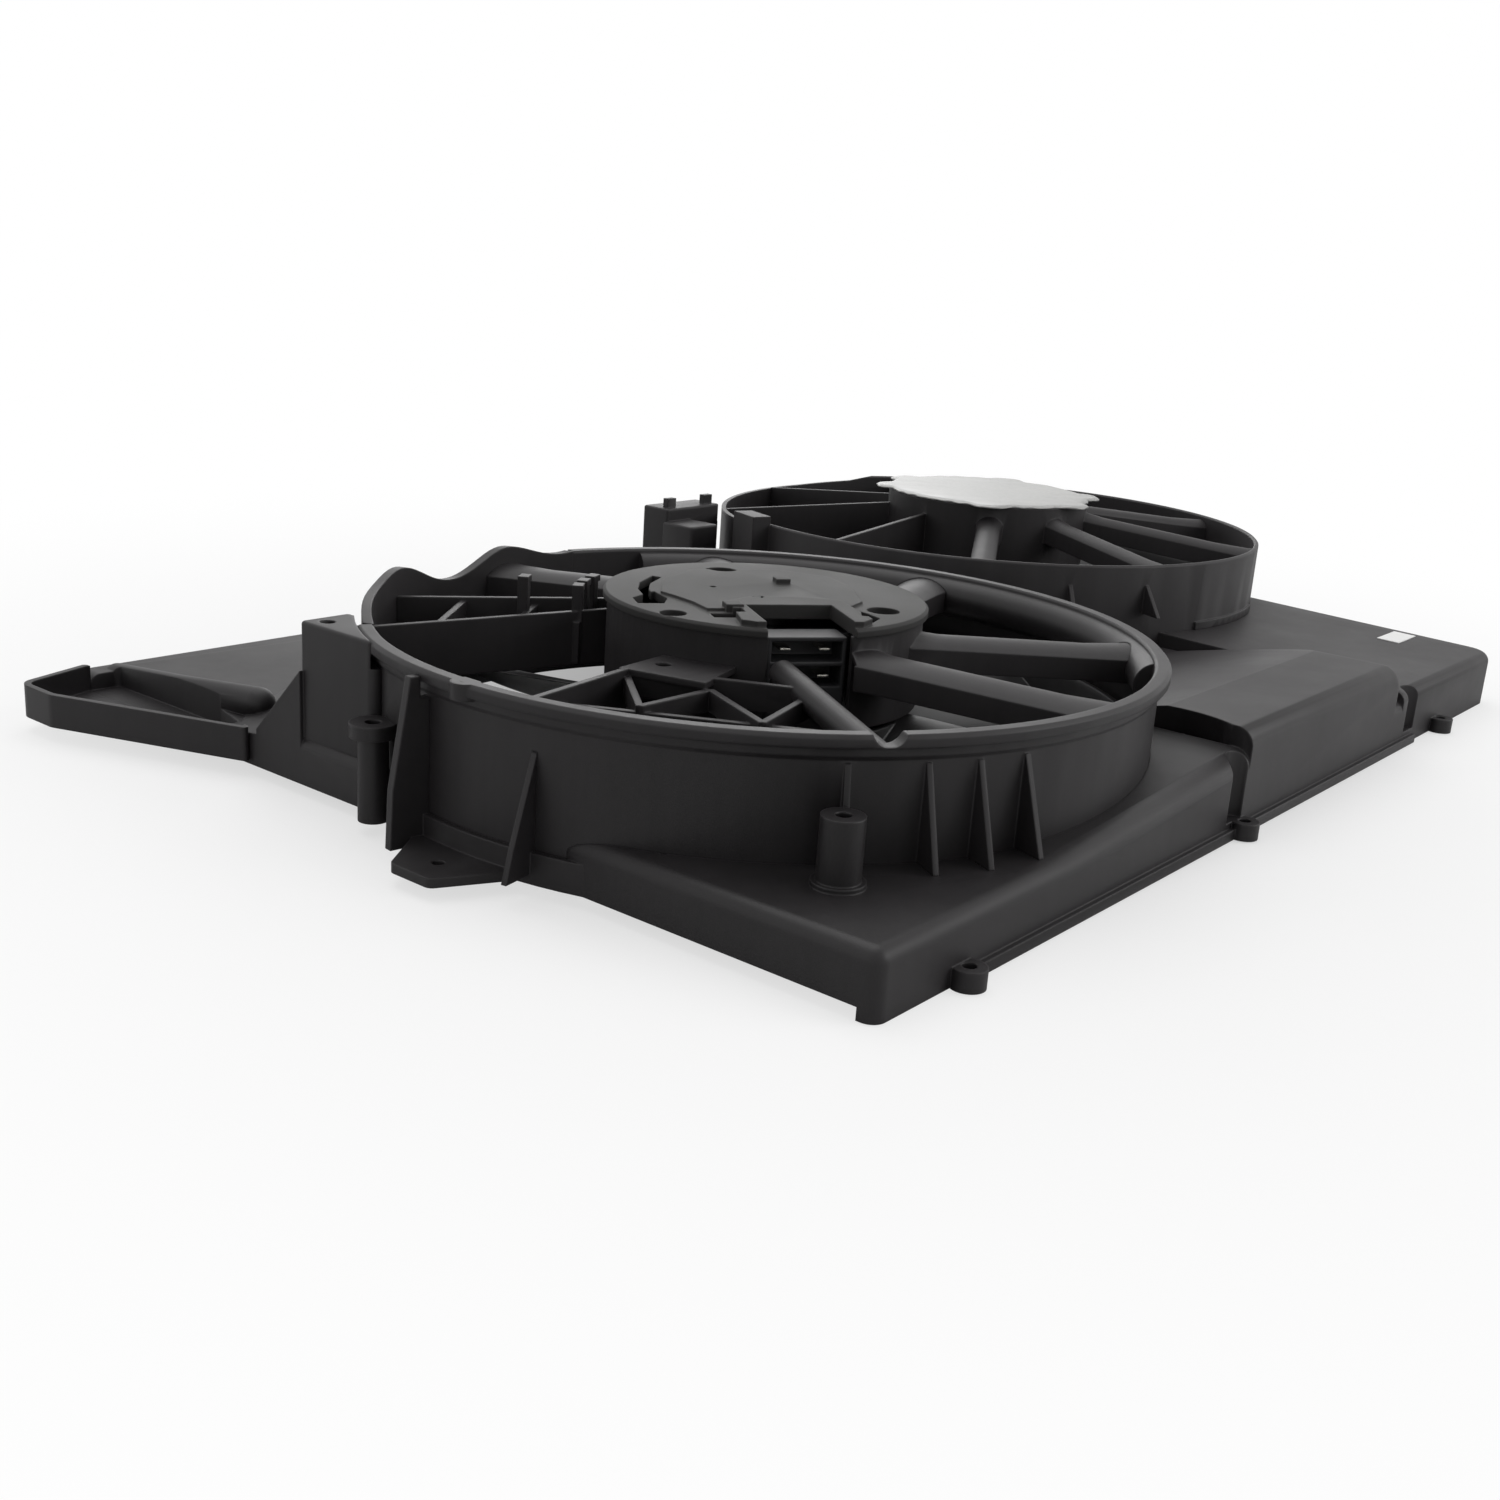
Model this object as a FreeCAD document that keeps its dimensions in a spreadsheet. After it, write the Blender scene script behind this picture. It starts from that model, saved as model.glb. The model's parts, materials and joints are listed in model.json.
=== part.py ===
import FreeCAD, Part
import math
import os
import Sketcher
from FreeCAD import Vector
from types import SimpleNamespace

# Twin radiator cooling fan, lying with its radiator side down.
# Millimetres, +Z up, X along the long side, origin under the middle of the whole part.
# Plan places are given from the near fan's axis and shifted to the frame by at().

os.makedirs("parts", exist_ok=True)
doc = FreeCAD.newDocument("radiator_cooling_fan")
sheet = doc.addObject("Spreadsheet::Sheet", "Sizes")

sizes = {
    # rings and their places
    "ringInner": 180, "ringWall": 3, "rimTop": 79, "rimLip": 4.5, "rimLipHigh": 6, "throatLow": 12,
    "farShiftX": 397, "farShiftY": 124,
    # deck and skirt, measured from the near axis
    "leftWall": 176, "rightWall": 197, "endWall": 499, "backWall": 310, "skin": 2.8,
    "deckHigh": 27, "backHigh": 18, "deckRound": 6, "cornerRound": 6, "endRound": 16, "frontRise": 13,
    "ductFrom": 118, "ductTo": 324, "ductCrest": -150, "rampEnd": -62, "ductBack": 22, "ductHigh": 50,
    "ductBite": 52, "rampLow": 30, "panelFrom": 330, "panelHigh": 38, "panelEndHigh": 32, "sideLift": 5,
    "flangeHigh": 5, "flangeOut": 2.5, "flangeFrom": -112, "flangeTo": 353,
    "bossRadius": 7, "bossHole": 2.8, "bossHigh": 8, "grooveRadius": 8, "grooveFar": 345, "bossFar": 392,
    # things standing on the deck
    "screwTowerRadius": 8.5, "screwTowerHigh": 27, "screwHole": 3.2, "gussetThick": 2.4, "gussetReach": 15,
    "boxTowerWide": 26, "boxTowerLong": 50, "boxTowerHole": 3.5, "backTowerLong": 52, "backTowerDeep": 22,
    "tubeRadius": 6.5, "tubeBead": 10, "tubeHigh": 48, "tubeHole": 3.4,
    "earHigh": 16, "earLow": 7, "earOut": 218, "pocketEdge": 160, "lipRadius": 8,
    "lugThick": 4, "lugOut": 214, "lugHole": 2.6, "finThick": 4,
    # stators and carriers
    "carrierRadius": 74, "farCarrierRadius": 68, "carrierSkin": 3, "carrierLow": 46, "carrierFloor": 3,
    "coverLow": 88, "coverThick": 4, "coverOver": 2, "farLift": 6, "plateThick": 1.2, "hoodHigh": 2.6,
    "pegHigh": 3.6,
    "vaneWide": 25, "farVaneWide": 15, "vaneHigh": 13, "vaneSkin": 2.4, "vaneDrop": 12, "vaneLean": 23,
    "armThick": 3, "armDeep": 26, "rollDeep": 8, "rollHigh": 21,
    # motors
    "canRadius": 42.6, "canSkin": 1.6, "canLow": 22, "canHigh": 78, "flangeEdge": 7, "flangeThick": 2,
    "canGap": 0.6, "screwOff": 3.8, "screwRadius": 2.5, "screwHeadRadius": 4.6, "screwHeadHigh": 3.2,
    "shaftRadius": 4, "shaftLow": 5, "runGap": 0.05, "bearingOuter": 11, "bearingHigh": 7, "seatWall": 2.5,
    "magnetThick": 5.7, "coreHigh": 22, "coreDrop": 18, "airGap": 0.8, "windingDrop": 5.5, "windingHigh": 7,
    "commutatorRadius": 11, "commutatorHigh": 9, "cardThick": 2, "brushGap": 0.3, "brushWide": 7,
    # fans
    "fanGap": 4, "bandWall": 2.6, "bandLow": 15, "bandHigh": 45, "hubRadius": 70, "hubSkin": 2.6,
    "hubLow": 10, "hubHigh": 42, "hubBoss": 9, "bladeCount": 9, "bladeSkin": 2.6, "bladePitch": 26,
    "bladeSweep": 14, "nutFlats": 13, "nutHigh": 4.5,
    # connector
    "plugWide": 36, "plugDeep": 16, "plugHigh": 24, "plugWall": 2, "pinThick": 1, "plugAngle": 235,
}

for row, (alias, value) in enumerate(sizes.items(), start=1):
    sheet.set(f"A{row}", alias)
    sheet.set(f"B{row}", str(value))
    sheet.setAlias(f"B{row}", alias)
doc.recompute()


class Dim(float):
    """A length that also knows the sheet expression it came from."""

    def __new__(cls, value, text):
        made = super().__new__(cls, value)
        made.text = text
        return made

    def __add__(self, other):
        return Dim(float(self) + float(other), f"({self.text} + {textOf(other)})")

    def __radd__(self, other):
        return Dim(float(self) + float(other), f"({textOf(other)} + {self.text})")

    def __sub__(self, other):
        return Dim(float(self) - float(other), f"({self.text} - {textOf(other)})")

    def __rsub__(self, other):
        return Dim(float(other) - float(self), f"({textOf(other)} - {self.text})")

    def __mul__(self, other):
        return Dim(float(self) * float(other), f"({self.text} * {textOf(other)})")

    def __rmul__(self, other):
        return Dim(float(self) * float(other), f"({textOf(other)} * {self.text})")

    def __neg__(self):
        return Dim(-float(self), f"(0 - {self.text})")


def textOf(value):
    return value.text if isinstance(value, Dim) else repr(float(value))


dims = SimpleNamespace(**{name: Dim(float(sheet.get(name)), "Sizes." + name) for name in sizes})

# the near axis sits so that the whole part is centred over the origin
ringOuter = dims.ringInner + dims.ringWall
screwCircle = dims.canRadius + dims.screwHeadRadius + dims.screwOff
lipOuter = ringOuter + dims.rimLip
skirtOuter = ringOuter + dims.skin
bossOut = dims.rightWall + dims.bossRadius * 0.5
nearX = (dims.earOut - dims.farShiftX - skirtOuter) * 0.5
nearY = (bossOut + dims.bossRadius - dims.farShiftY - skirtOuter) * 0.5
farX = nearX + dims.farShiftX
farY = nearY + dims.farShiftY


# helpers for shapes made with Part

def at(x, y, z=0):
    return Vector(nearX + x, nearY + y, z)


def polar(radius, degrees, centre=(0, 0)):
    turn = math.radians(degrees)
    return (centre[0] + radius * math.cos(turn), centre[1] + radius * math.sin(turn))


def disc(radius, low, high, centre=(0, 0)):
    return Part.makeCylinder(radius, high - low, at(centre[0], centre[1], low))


def tube(inner, outer, low, high, centre=(0, 0)):
    return disc(outer, low, high, centre).cut(disc(inner, low - 1, high + 1, centre))


def block(x0, x1, y0, y1, low, high):
    return Part.makeBox(x1 - x0, y1 - y0, high - low, at(x0, y0, low))


def outline(corners):
    # closed wire through (x, y, radius) corners, each rounded by a tangent arc
    count = len(corners)
    edges = []
    ends = []
    for i, (x, y, radius) in enumerate(corners):
        here = Vector(x, y, 0)
        before = (Vector(*corners[i - 1][:2], 0) - here).normalize()
        after = (Vector(*corners[(i + 1) % count][:2], 0) - here).normalize()
        half = before.getAngle(after) / 2
        if radius == 0 or abs(half - math.pi / 2) < 1e-6:
            ends.append((here, here))
            continue
        reach = radius / math.tan(half)
        bisector = (before + after).normalize()
        middle = here + bisector * (radius / math.sin(half) - radius)
        start, end = here + before * reach, here + after * reach
        edges.append(Part.Arc(*(at(p.x, p.y) for p in (start, middle, end))).toShape())
        ends.append((start, end))
    for i in range(count):
        leave, arrive = ends[i][1], ends[(i + 1) % count][0]
        if (arrive - leave).Length > 1e-6:
            edges.append(Part.LineSegment(at(leave.x, leave.y), at(arrive.x, arrive.y)).toShape())
    return Part.Wire(Part.__sortEdges__(edges))


def prism(corners, low, high):
    face = Part.Face(outline(corners))
    face.translate(Vector(0, 0, low))
    return face.extrude(Vector(0, 0, high - low))


def roofed(corners, low, high, rounding):
    # a prism whose top edge is rounded all the way round
    solid = prism(corners, low, high)
    top = [edge for edge in solid.Edges if abs(edge.BoundBox.ZMin - high) < 1e-6]
    return solid.makeFillet(rounding, top)


def inset(corners, wall):
    # the same rectangle-like outline moved inwards by a wall
    xs = [c[0] for c in corners]
    ys = [c[1] for c in corners]
    midX, midY = (min(xs) + max(xs)) / 2, (min(ys) + max(ys)) / 2
    moved = []
    for x, y, radius in corners:
        nearer = (x - math.copysign(wall, x - midX), y - math.copysign(wall, y - midY))
        moved.append((*nearer, max(radius - wall, 0)))
    return moved


def turned(shape, degrees, centre=(0, 0)):
    copy = shape.copy()
    copy.rotate(at(centre[0], centre[1]), Vector(0, 0, 1), degrees)
    return copy


def upright(points, thick, degrees, centre=(0, 0)):
    # a plate standing on edge: points are (distance out, height), turned to its angle
    wire = Part.makePolygon([Vector(nearX + centre[0] + out, nearY + centre[1] - thick / 2, z)
                             for out, z in points + points[:1]])
    plate = Part.Face(wire).extrude(Vector(0, thick, 0))
    return turned(plate, degrees, centre)


def fused(shapes):
    return shapes[0].multiFuse(shapes[1:]).removeSplitter()


def addShape(name, shape, place=Vector(0, 0, 0)):
    piece = doc.addObject("Part::Feature", name)
    piece.Label = name
    piece.Shape = shape
    piece.Placement = FreeCAD.Placement(place, FreeCAD.Rotation())
    return piece


# helpers for bodies made with sketches

def newBody(name, x=0, y=0, z=0):
    body = doc.addObject("PartDesign::Body", name)
    body.Label = name
    for axis, value in zip("xyz", (x, y, z)):
        if isinstance(value, Dim):
            body.setExpression(f"Placement.Base.{axis}", value.text)
        else:
            setattr(body.Placement.Base, axis, value)
    doc.recompute()
    return body


def sketchOn(body, role, lift=None):
    sketch = body.newObject("Sketcher::SketchObject", body.Name + "Sketch")
    plane = [item for item in body.Origin.OriginFeatures if item.Role == role][0]
    sketch.AttachmentSupport = [(plane, "")]
    sketch.MapMode = "FlatFace"
    if lift is not None:
        sketch.setExpression("AttachmentOffset.Base.z", textOf(lift))
    return sketch


def pin(sketch, kind, *spec):
    value = spec[-1]
    number = sketch.addConstraint(Sketcher.Constraint(kind, *spec[:-1], float(value)))
    if isinstance(value, Dim):
        sketch.setExpression(f"Constraints[{number}]", value.text)


def drawLoop(sketch, points):
    count = len(points)
    flat = [Vector(float(x), float(y), 0) for x, y in points]
    sides = [Part.LineSegment(flat[i], flat[(i + 1) % count]) for i in range(count)]
    lines = [sketch.addGeometry(side, False) for side in sides]
    for i in range(count):
        sketch.addConstraint(Sketcher.Constraint("Coincident", lines[i], 2, lines[(i + 1) % count], 1))
    for line, (x, y) in zip(lines, points):
        pin(sketch, "DistanceX", -1, 1, line, 1, x)
        pin(sketch, "DistanceY", -1, 1, line, 1, y)


def drawCircle(sketch, radius, x=0.0, y=0.0):
    circle = Part.Circle(Vector(float(x), float(y), 0), Vector(0, 0, 1), float(radius))
    ring = sketch.addGeometry(circle, False)
    pin(sketch, "Radius", ring, radius)
    pin(sketch, "DistanceX", -1, 1, ring, 3, x)
    pin(sketch, "DistanceY", -1, 1, ring, 3, y)


def spun(body, points, feature="PartDesign::Revolution"):
    # profile in (radius, height), spun round the body's own upright axis
    sketch = sketchOn(body, "XZ_Plane")
    drawLoop(sketch, points)
    turn = body.newObject(feature, body.Name + "Turn")
    turn.Profile = sketch
    turn.ReferenceAxis = (sketch, ["V_Axis"])
    turn.Angle = 360
    doc.recompute()
    return turn


def raised(body, draw, lift, high):
    # a pad from height lift, as tall as high
    sketch = sketchOn(body, "XY_Plane", lift)
    draw(sketch)
    pad = body.newObject("PartDesign::Pad", body.Name + "Pad")
    pad.Profile = sketch
    pad.setExpression("Length", textOf(high))
    doc.recompute()
    return pad


def sunk(body, draw, lift, deep):
    # a pocket cut downwards from height lift
    before = body.Shape.Volume
    sketch = sketchOn(body, "XY_Plane", lift)
    draw(sketch)
    pocket = body.newObject("PartDesign::Pocket", body.Name + "Pocket")
    pocket.Profile = sketch
    pocket.setExpression("Length", textOf(deep))
    doc.recompute()
    if body.Shape.Volume >= before:
        raise RuntimeError(body.Name + ": the pocket cut nothing")
    return pocket


def repeated(body, feature, count):
    pattern = body.newObject("PartDesign::PolarPattern", body.Name + "Pattern")
    pattern.Originals = [feature]
    axis = [item for item in body.Origin.OriginFeatures if item.Role == "Z_Axis"][0]
    pattern.Axis = (axis, [""])
    pattern.Angle = 360
    pattern.Occurrences = count
    body.Tip = pattern
    doc.recompute()
    return pattern


def rectangle(x0, x1, y0, y1):
    return [(x0, y0), (x1, y0), (x1, y1), (x0, y1)]


# the shroud's deck, skirt, duct and everything moulded onto them

def deckCorners():
    left, right, end, back = dims.leftWall, dims.rightWall, dims.endWall, dims.backWall
    turn = dims.cornerRound
    front = [(-left, -right, turn), (end, -right, dims.endRound), (end, 150, 0), (-left, 150, 0)]
    rear = [(-left, 90, 0), (end, 90, 0), (end, back, dims.endRound), (-left, back, turn)]
    return front, rear


def lengthways(section, x0, x1):
    # a solid with one (y, z) section all along X
    wire = Part.makePolygon([at(x0, y, z) for y, z in section + section[:1]])
    return Part.Face(wire).extrude(Vector(x1 - x0, 0, 0))


def topEdges(solid, test):
    return [edge for edge in solid.Edges if test(edge.BoundBox)]


def endPanel(lower):
    # the right-end deck, falling towards the front edge, with rounded outer corners
    front, behind = -dims.rightWall - 1, -30
    drop = -1 if lower else 0
    section = [(front, drop), (front, dims.panelEndHigh - lower), (behind, dims.panelHigh - lower),
               (60, dims.panelHigh - lower), (60, drop)]
    panel = lengthways(section, dims.panelFrom + lower, dims.endWall + 1)
    x1, y0 = dims.endWall - lower, -dims.rightWall + lower
    keep = prism([(300, y0, 0), (x1, y0, dims.endRound - lower), (x1, 70, 0), (300, 70, 0)], drop, 60)
    panel = panel.common(keep)
    if lower:
        return panel

    def outer(box):
        return box.ZMin > 25 and (box.XMin > nearX + x1 - 20 or box.YMax < nearY + y0 + 20)
    return panel.makeFillet(dims.deckRound, topEdges(panel, outer))


def makeFrontRise(lower):
    # the deck along the front wall climbs from the near corner to the duct
    y0, y1 = -dims.rightWall + lower, -120
    x0, x1 = -90, dims.ductFrom - lower
    low = -1 if lower else 0
    top = dims.deckHigh - lower
    wire = Part.makePolygon([at(x, y0, z) for x, z in ((x0, low), (x1, low), (x1, top + dims.frontRise),
                                                     (x0, top - 1), (x0, low))])
    wedge = Part.Face(wire).extrude(Vector(0, y1 - y0, 0))
    edges = topEdges(wedge, lambda box: box.ZMin > 10 and box.YMax < nearY + y0 + 1)
    return wedge.makeFillet(dims.deckRound + 3 - lower, edges)


def makeDuct(lower):
    # a tall box along the front wall, with a ramp from its crest down to the far ring's foot
    low = -1 if lower else 0
    top, foot = dims.ductHigh - lower, dims.rampLow - lower
    y0, y1 = -dims.rightWall + lower, dims.ductBack - lower
    x0, x1 = dims.ductFrom + lower, dims.ductTo - lower
    section = [(y0, low), (y0, top), (dims.ductCrest, top), (dims.rampEnd, foot), (y1, foot), (y1, low)]
    duct = lengthways(section, x0, x1)
    shoulder = topEdges(duct, lambda box: box.ZMin > foot + 1 and box.XMin > nearX + x1 - 1)
    duct = duct.makeFillet(dims.endRound - lower, [edge for edge in shoulder if edge.BoundBox.ZLength < 1])
    brow = topEdges(duct, lambda box: box.ZMin > top - 1 and box.YMax < nearY + y0 + 1)
    duct = duct.makeFillet(dims.deckRound + 3 - lower, brow)
    biteFloor = dims.deckHigh + dims.frontRise - 2
    middle = (dims.ductFrom - dims.ductBite + 7, -160)
    return duct.cut(disc(dims.ductBite + lower, biteFloor, 80, middle))


def makeHill(lower):
    # the deck sweeps up to the near ring's rear-left wall in a hollow curve
    rows = ((92, 0.06), (104, 0.55), (116, 0.95), (130, 1.0), (142, 0.6), (152, 0.06))
    base = dims.backHigh - lower
    wires = []
    for angle, share in rows:
        curve = [(ringOuter - 8, 50), (ringOuter + 4.5, 50), (ringOuter + 9, 34), (ringOuter + 18, 19),
                 (ringOuter + 34, 8), (ringOuter + 60, 0.5)]
        spots = [(r - lower, base + rise * share) for r, rise in curve]
        spots += [(ringOuter + 60 - lower, 4), (ringOuter - 8 - lower, 4)]
        corners = [at(*polar(r, angle), z) for r, z in spots]
        wires.append(Part.makePolygon(corners + corners[:1]))
    keep = block(lower - dims.leftWall, 200, 0, dims.backWall, -2, 90)
    return Part.makeLoft(wires, True, True).common(keep)


def earPocket(wall):
    # the ear's open pocket reaches into the deck; wall grows it for the skin round it
    low = dims.earLow + dims.skin - wall
    edge = dims.pocketEdge - wall
    return prism([(-190, 178 - wall, 0), (-edge - 6, 178 - wall, 3), (-edge, 202, 8), (-edge, 292 + wall, 3),
                  (-190, 292 + wall, 0)], low, 60)


def rolledLip():
    # a rounded lip along the pocket, climbing towards the tower
    x = 3 - dims.pocketEdge
    spots = [(x, 298, 12), (x, 240, 18), (x + 6, 184, 23)]
    parts = [Part.makeSphere(dims.lipRadius, at(*spot)) for spot in spots]
    for start, end in zip(spots, spots[1:]):
        a, b = at(*start), at(*end)
        parts.append(Part.makeCylinder(dims.lipRadius, (b - a).Length, a, b - a))
    return fused(parts)


def makeDeck():
    front, rear = deckCorners()
    skin, far = dims.skin, (dims.farShiftX, dims.farShiftY)
    outer = fused([
        roofed(front, 0, dims.deckHigh, dims.deckRound),
        roofed(rear, 0, dims.backHigh, dims.deckRound),
        makeDuct(0),
        makeFrontRise(0),
        makeHill(0),
        disc(skirtOuter, 0, dims.backHigh),
        disc(skirtOuter, 0, dims.deckHigh, far),
        endPanel(0),
        rolledLip(),
    ]).cut(earPocket(0))
    inner = fused([
        roofed(inset(front, skin), -1, dims.deckHigh - skin, dims.deckRound - skin),
        roofed(inset(rear, skin), -1, dims.backHigh - skin, dims.deckRound - skin),
        makeDuct(skin),
        makeFrontRise(skin),
        makeHill(skin),
        disc(ringOuter, -1, dims.backHigh + 1),
        disc(ringOuter, -1, dims.deckHigh + 1, far),
        endPanel(skin),
    ]).cut(earPocket(skin))
    groove = dims.grooveRadius
    for x in (dims.ductFrom - 10, dims.grooveFar):
        outer = outer.cut(disc(groove, dims.bossHigh, dims.ductHigh + 1, (x, -dims.rightWall)))
        inner = inner.cut(disc(groove + skin, -1, dims.ductHigh + 1, (x, -dims.rightWall)))
    deck = outer.cut(inner)
    extras = flangeParts() + towerParts() + lugParts()
    deck = deck.multiFuse(extras)
    high = dims.rimTop + 20
    rimLow = dims.rimTop - dims.rimLipHigh - 6
    for place in ((0, 0), far):
        deck = deck.cut(disc(ringOuter, -1, high, place)).cut(disc(lipOuter, rimLow, high, place))
    # the left wall stops above the floor, save for a small foot at the near corner
    gap = block(-dims.lugOut, skin - dims.leftWall, 8 - dims.rightWall, dims.backWall + 1, -1, dims.sideLift)
    return deck.cut(gap).cut(fused(holeParts())).removeSplitter()


def bossPlaces():
    y = -bossOut
    return [(-124, y), (dims.ductFrom - 5, y), (dims.bossFar, y)]


def flangeParts():
    side = -dims.rightWall
    bead = block(dims.flangeFrom, dims.flangeTo, side - dims.flangeOut, side + 1, 0, dims.flangeHigh)
    parts = [bead]
    for x, y in bossPlaces():
        parts.append(disc(dims.bossRadius, 0, dims.bossHigh, (x, y)))
    return parts


def towerParts():
    # screw tower near the front corner, the side box tower with its tube, and the rear tower with two horns
    low = dims.deckHigh - 1
    foot = (-137, -150)
    radius = dims.screwTowerRadius
    parts = [disc(radius, low, dims.deckHigh + dims.screwTowerHigh, foot),
             disc(radius + 2, low, dims.deckHigh + 2, foot)]
    x0, y0 = 2 - dims.leftWall, 69
    x1, y1 = x0 + dims.boxTowerWide, y0 + dims.boxTowerLong
    parts.append(roofed([(x0, y0, 4), (x1, y0, 0), (x1, y1, 2), (x0, y1, 2)], low, dims.rimTop, 1.5))
    tubeFoot = tubePlace()
    parts.append(disc(dims.tubeRadius, dims.sideLift, dims.tubeHigh, tubeFoot))
    parts.append(disc(dims.tubeBead, dims.tubeHigh - 6, dims.tubeHigh, tubeFoot))
    earTop = dims.earLow + dims.earHigh
    web = [(117, 15), (117, 57), (150, earTop), (150, 15)]
    parts.append(lengthways(web, -dims.leftWall, dims.skin - dims.leftWall + 2))
    x1, y1 = 206, 248
    x2, y2 = x1 + dims.backTowerLong, y1 + dims.backTowerDeep
    base = dims.backHigh - 1
    parts.append(roofed([(x1, y1, 2), (x2, y1, 2), (x2, y2, 2), (x1, y2, 2)], base, dims.rimTop, 1.5))
    for horn in (x1 + 4, x1 + dims.backTowerLong - 12):
        parts.append(block(horn, horn + 8, y1 + 4, y1 + 8, dims.rimTop - 1, dims.rimTop + 6))
    step = [(203, 224, 2), (229, 224, 2), (229, y1 + 1, 0), (203, y1 + 1, 0)]
    parts.append(roofed(step, base, dims.rimTop - 8, 1.5))
    return parts


def tubePlace():
    return (-dims.leftWall - 5, 60)


def lugParts():
    # the foot that hangs the shroud on the radiator's side, with its standing fin
    tip = -dims.lugOut
    low, top = dims.sideLift, dims.sideLift + dims.lugThick
    foot = prism([(-176, -34, 0), (tip, -15, 4), (tip, 8, 4), (-176, 34, 0)], low, top)
    finTop = dims.rimTop - 3
    brow = ringOuter + 9
    edge = dims.lugOut - 13
    side = [(180, low), (edge, low), (edge - 1, 30), (brow, finTop), (180, finTop)]
    fin = upright(side, dims.finThick, 172)
    side = [(180, top), (ringOuter + 18, top), (ringOuter + 14, 22), (180, 66)]
    web = upright(side, dims.gussetThick, 191)
    return [foot, fin, web]


def holeParts():
    holes = [disc(dims.bossHole, -1, dims.bossHigh + 1, place) for place in bossPlaces()]
    holes.append(disc(dims.screwHole, dims.deckHigh + 6, dims.deckHigh + 60, (-137, -150)))
    holes.append(disc(dims.boxTowerHole, 40, dims.rimTop + 1, (10 - dims.leftWall, 60 + dims.boxTowerLong)))
    holes.append(disc(dims.tubeHole, dims.tubeHigh - 18, dims.tubeHigh + 1, tubePlace()))
    holes.append(prism([(-162, -88, 1.5), (-150, -88, 1.5), (-150, -82, 1.5), (-162, -82, 1.5)], 10, 40))
    holes.append(disc(dims.lugHole, 0, 12, (14 - dims.lugOut, -4)))
    return holes


def makeRing(centre, lowest, foot, gussets, lipped):
    # wall with a rolled or a plain rim, spun from one section
    inner, outer = dims.ringInner, ringOuter
    top, lip = dims.rimTop, dims.rimLipHigh
    edge = outer + dims.rimLip
    section = [(inner, lowest), (outer, lowest)]
    if lipped:
        section += [(outer, top - lip - 5), (outer + 1.4, top - lip - 3), (outer + 1.4, top - lip),
                    (edge, top - lip + 1), (edge, top - 1.5), (edge - 1.5, top)]
    else:
        section += [(outer, top - 1), (outer - 1, top)]
    section += [(inner + 1, top), (inner, top - 1)]
    wire = Part.makePolygon([at(centre[0] + r, centre[1], z) for r, z in section + section[:1]])
    ring = Part.Face(wire).revolve(at(centre[0], centre[1]), Vector(0, 0, 1), 360)
    ribs = []
    for angle, reach in gussets:
        ribs.append(upright([(outer - 1, foot), (outer + reach, foot), (outer + 0.8, top - lip - 6),
                             (outer - 1, top - lip - 6)], dims.gussetThick, angle, centre))
    return ring.multiFuse(ribs).cut(disc(inner, 0, 200, centre)) if ribs else ring


def makeNearRing():
    reach = dims.gussetReach
    gussets = [(239, reach), (246, reach), (253, reach), (229, 8)]
    ring = makeRing((0, 0), dims.throatLow, dims.deckHigh, gussets, True)
    # the rear rim rises, dips and rises again: a wave drawn on a flat and pushed out through the wall
    middle = 112
    wave = ((75, 0), (82, 1), (89, 5.5), (95, -1), (101, -6.5), (107, -4), (112, 2), (118, 7), (127, 5),
            (138, 3), (148, 0))
    low = dims.rimTop - dims.rimLipHigh - 6
    along, out = Vector(*polar(1, middle + 90), 0), Vector(*polar(1, middle), 0)
    spots = []
    for angle, rise in wave:
        reach = dims.ringInner * math.sin(math.radians(angle - middle))
        spots.append(at(0, 0, dims.rimTop + rise) + along * reach)
    top = Part.BSplineCurve()
    top.interpolate(spots)
    first, last = spots[0], spots[-1]
    sides = Part.makePolygon([last, Vector(last.x, last.y, low), Vector(first.x, first.y, low), first])
    drawn = Part.Face(Part.Wire([top.toShape()] + sides.Edges)).extrude(out * (lipOuter + 20))
    crest = tube(dims.ringInner, ringOuter + 1.4, low, dims.rimTop + 20).common(drawn)
    sector = Part.makeCylinder(lipOuter + 5, 40, at(0, 0, low), Vector(0, 0, 1), wave[-1][0] - wave[0][0])
    sector.rotate(at(0, 0), Vector(0, 0, 1), wave[0][0])
    notch = Part.makeCylinder(7, 30, at(*polar(170, 233.5), dims.rimTop + 2), Vector(*polar(1, 233.5), 0))
    boss = disc(6, dims.rimTop - 7, dims.rimTop, polar(ringOuter + 1, 180)).cut(
        disc(dims.ringInner, 0, 200)).cut(disc(2.4, 60, 90, polar(ringOuter + 1, 180)))
    # the inner wall bulges inwards along the right side, under the rim
    inner, high = dims.ringInner, dims.rimTop - 2
    bulge = [Vector(inner + 1, 0, high), Vector(inner - dims.rollDeep, 0, high - dims.rollHigh * 0.45),
             Vector(inner + 1, 0, high - dims.rollHigh)]
    wire = Part.Wire([Part.Arc(*bulge).toShape(), Part.LineSegment(bulge[2], bulge[0]).toShape()])
    roll = Part.Face(wire).revolve(Vector(0, 0, 0), Vector(0, 0, 1), 122)
    roll.rotate(Vector(0, 0, 0), Vector(0, 0, 1), -60)
    roll.translate(at(0, 0))
    return ring.cut(sector).multiFuse([crest, boss, roll]).cut(notch).removeSplitter()


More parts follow.
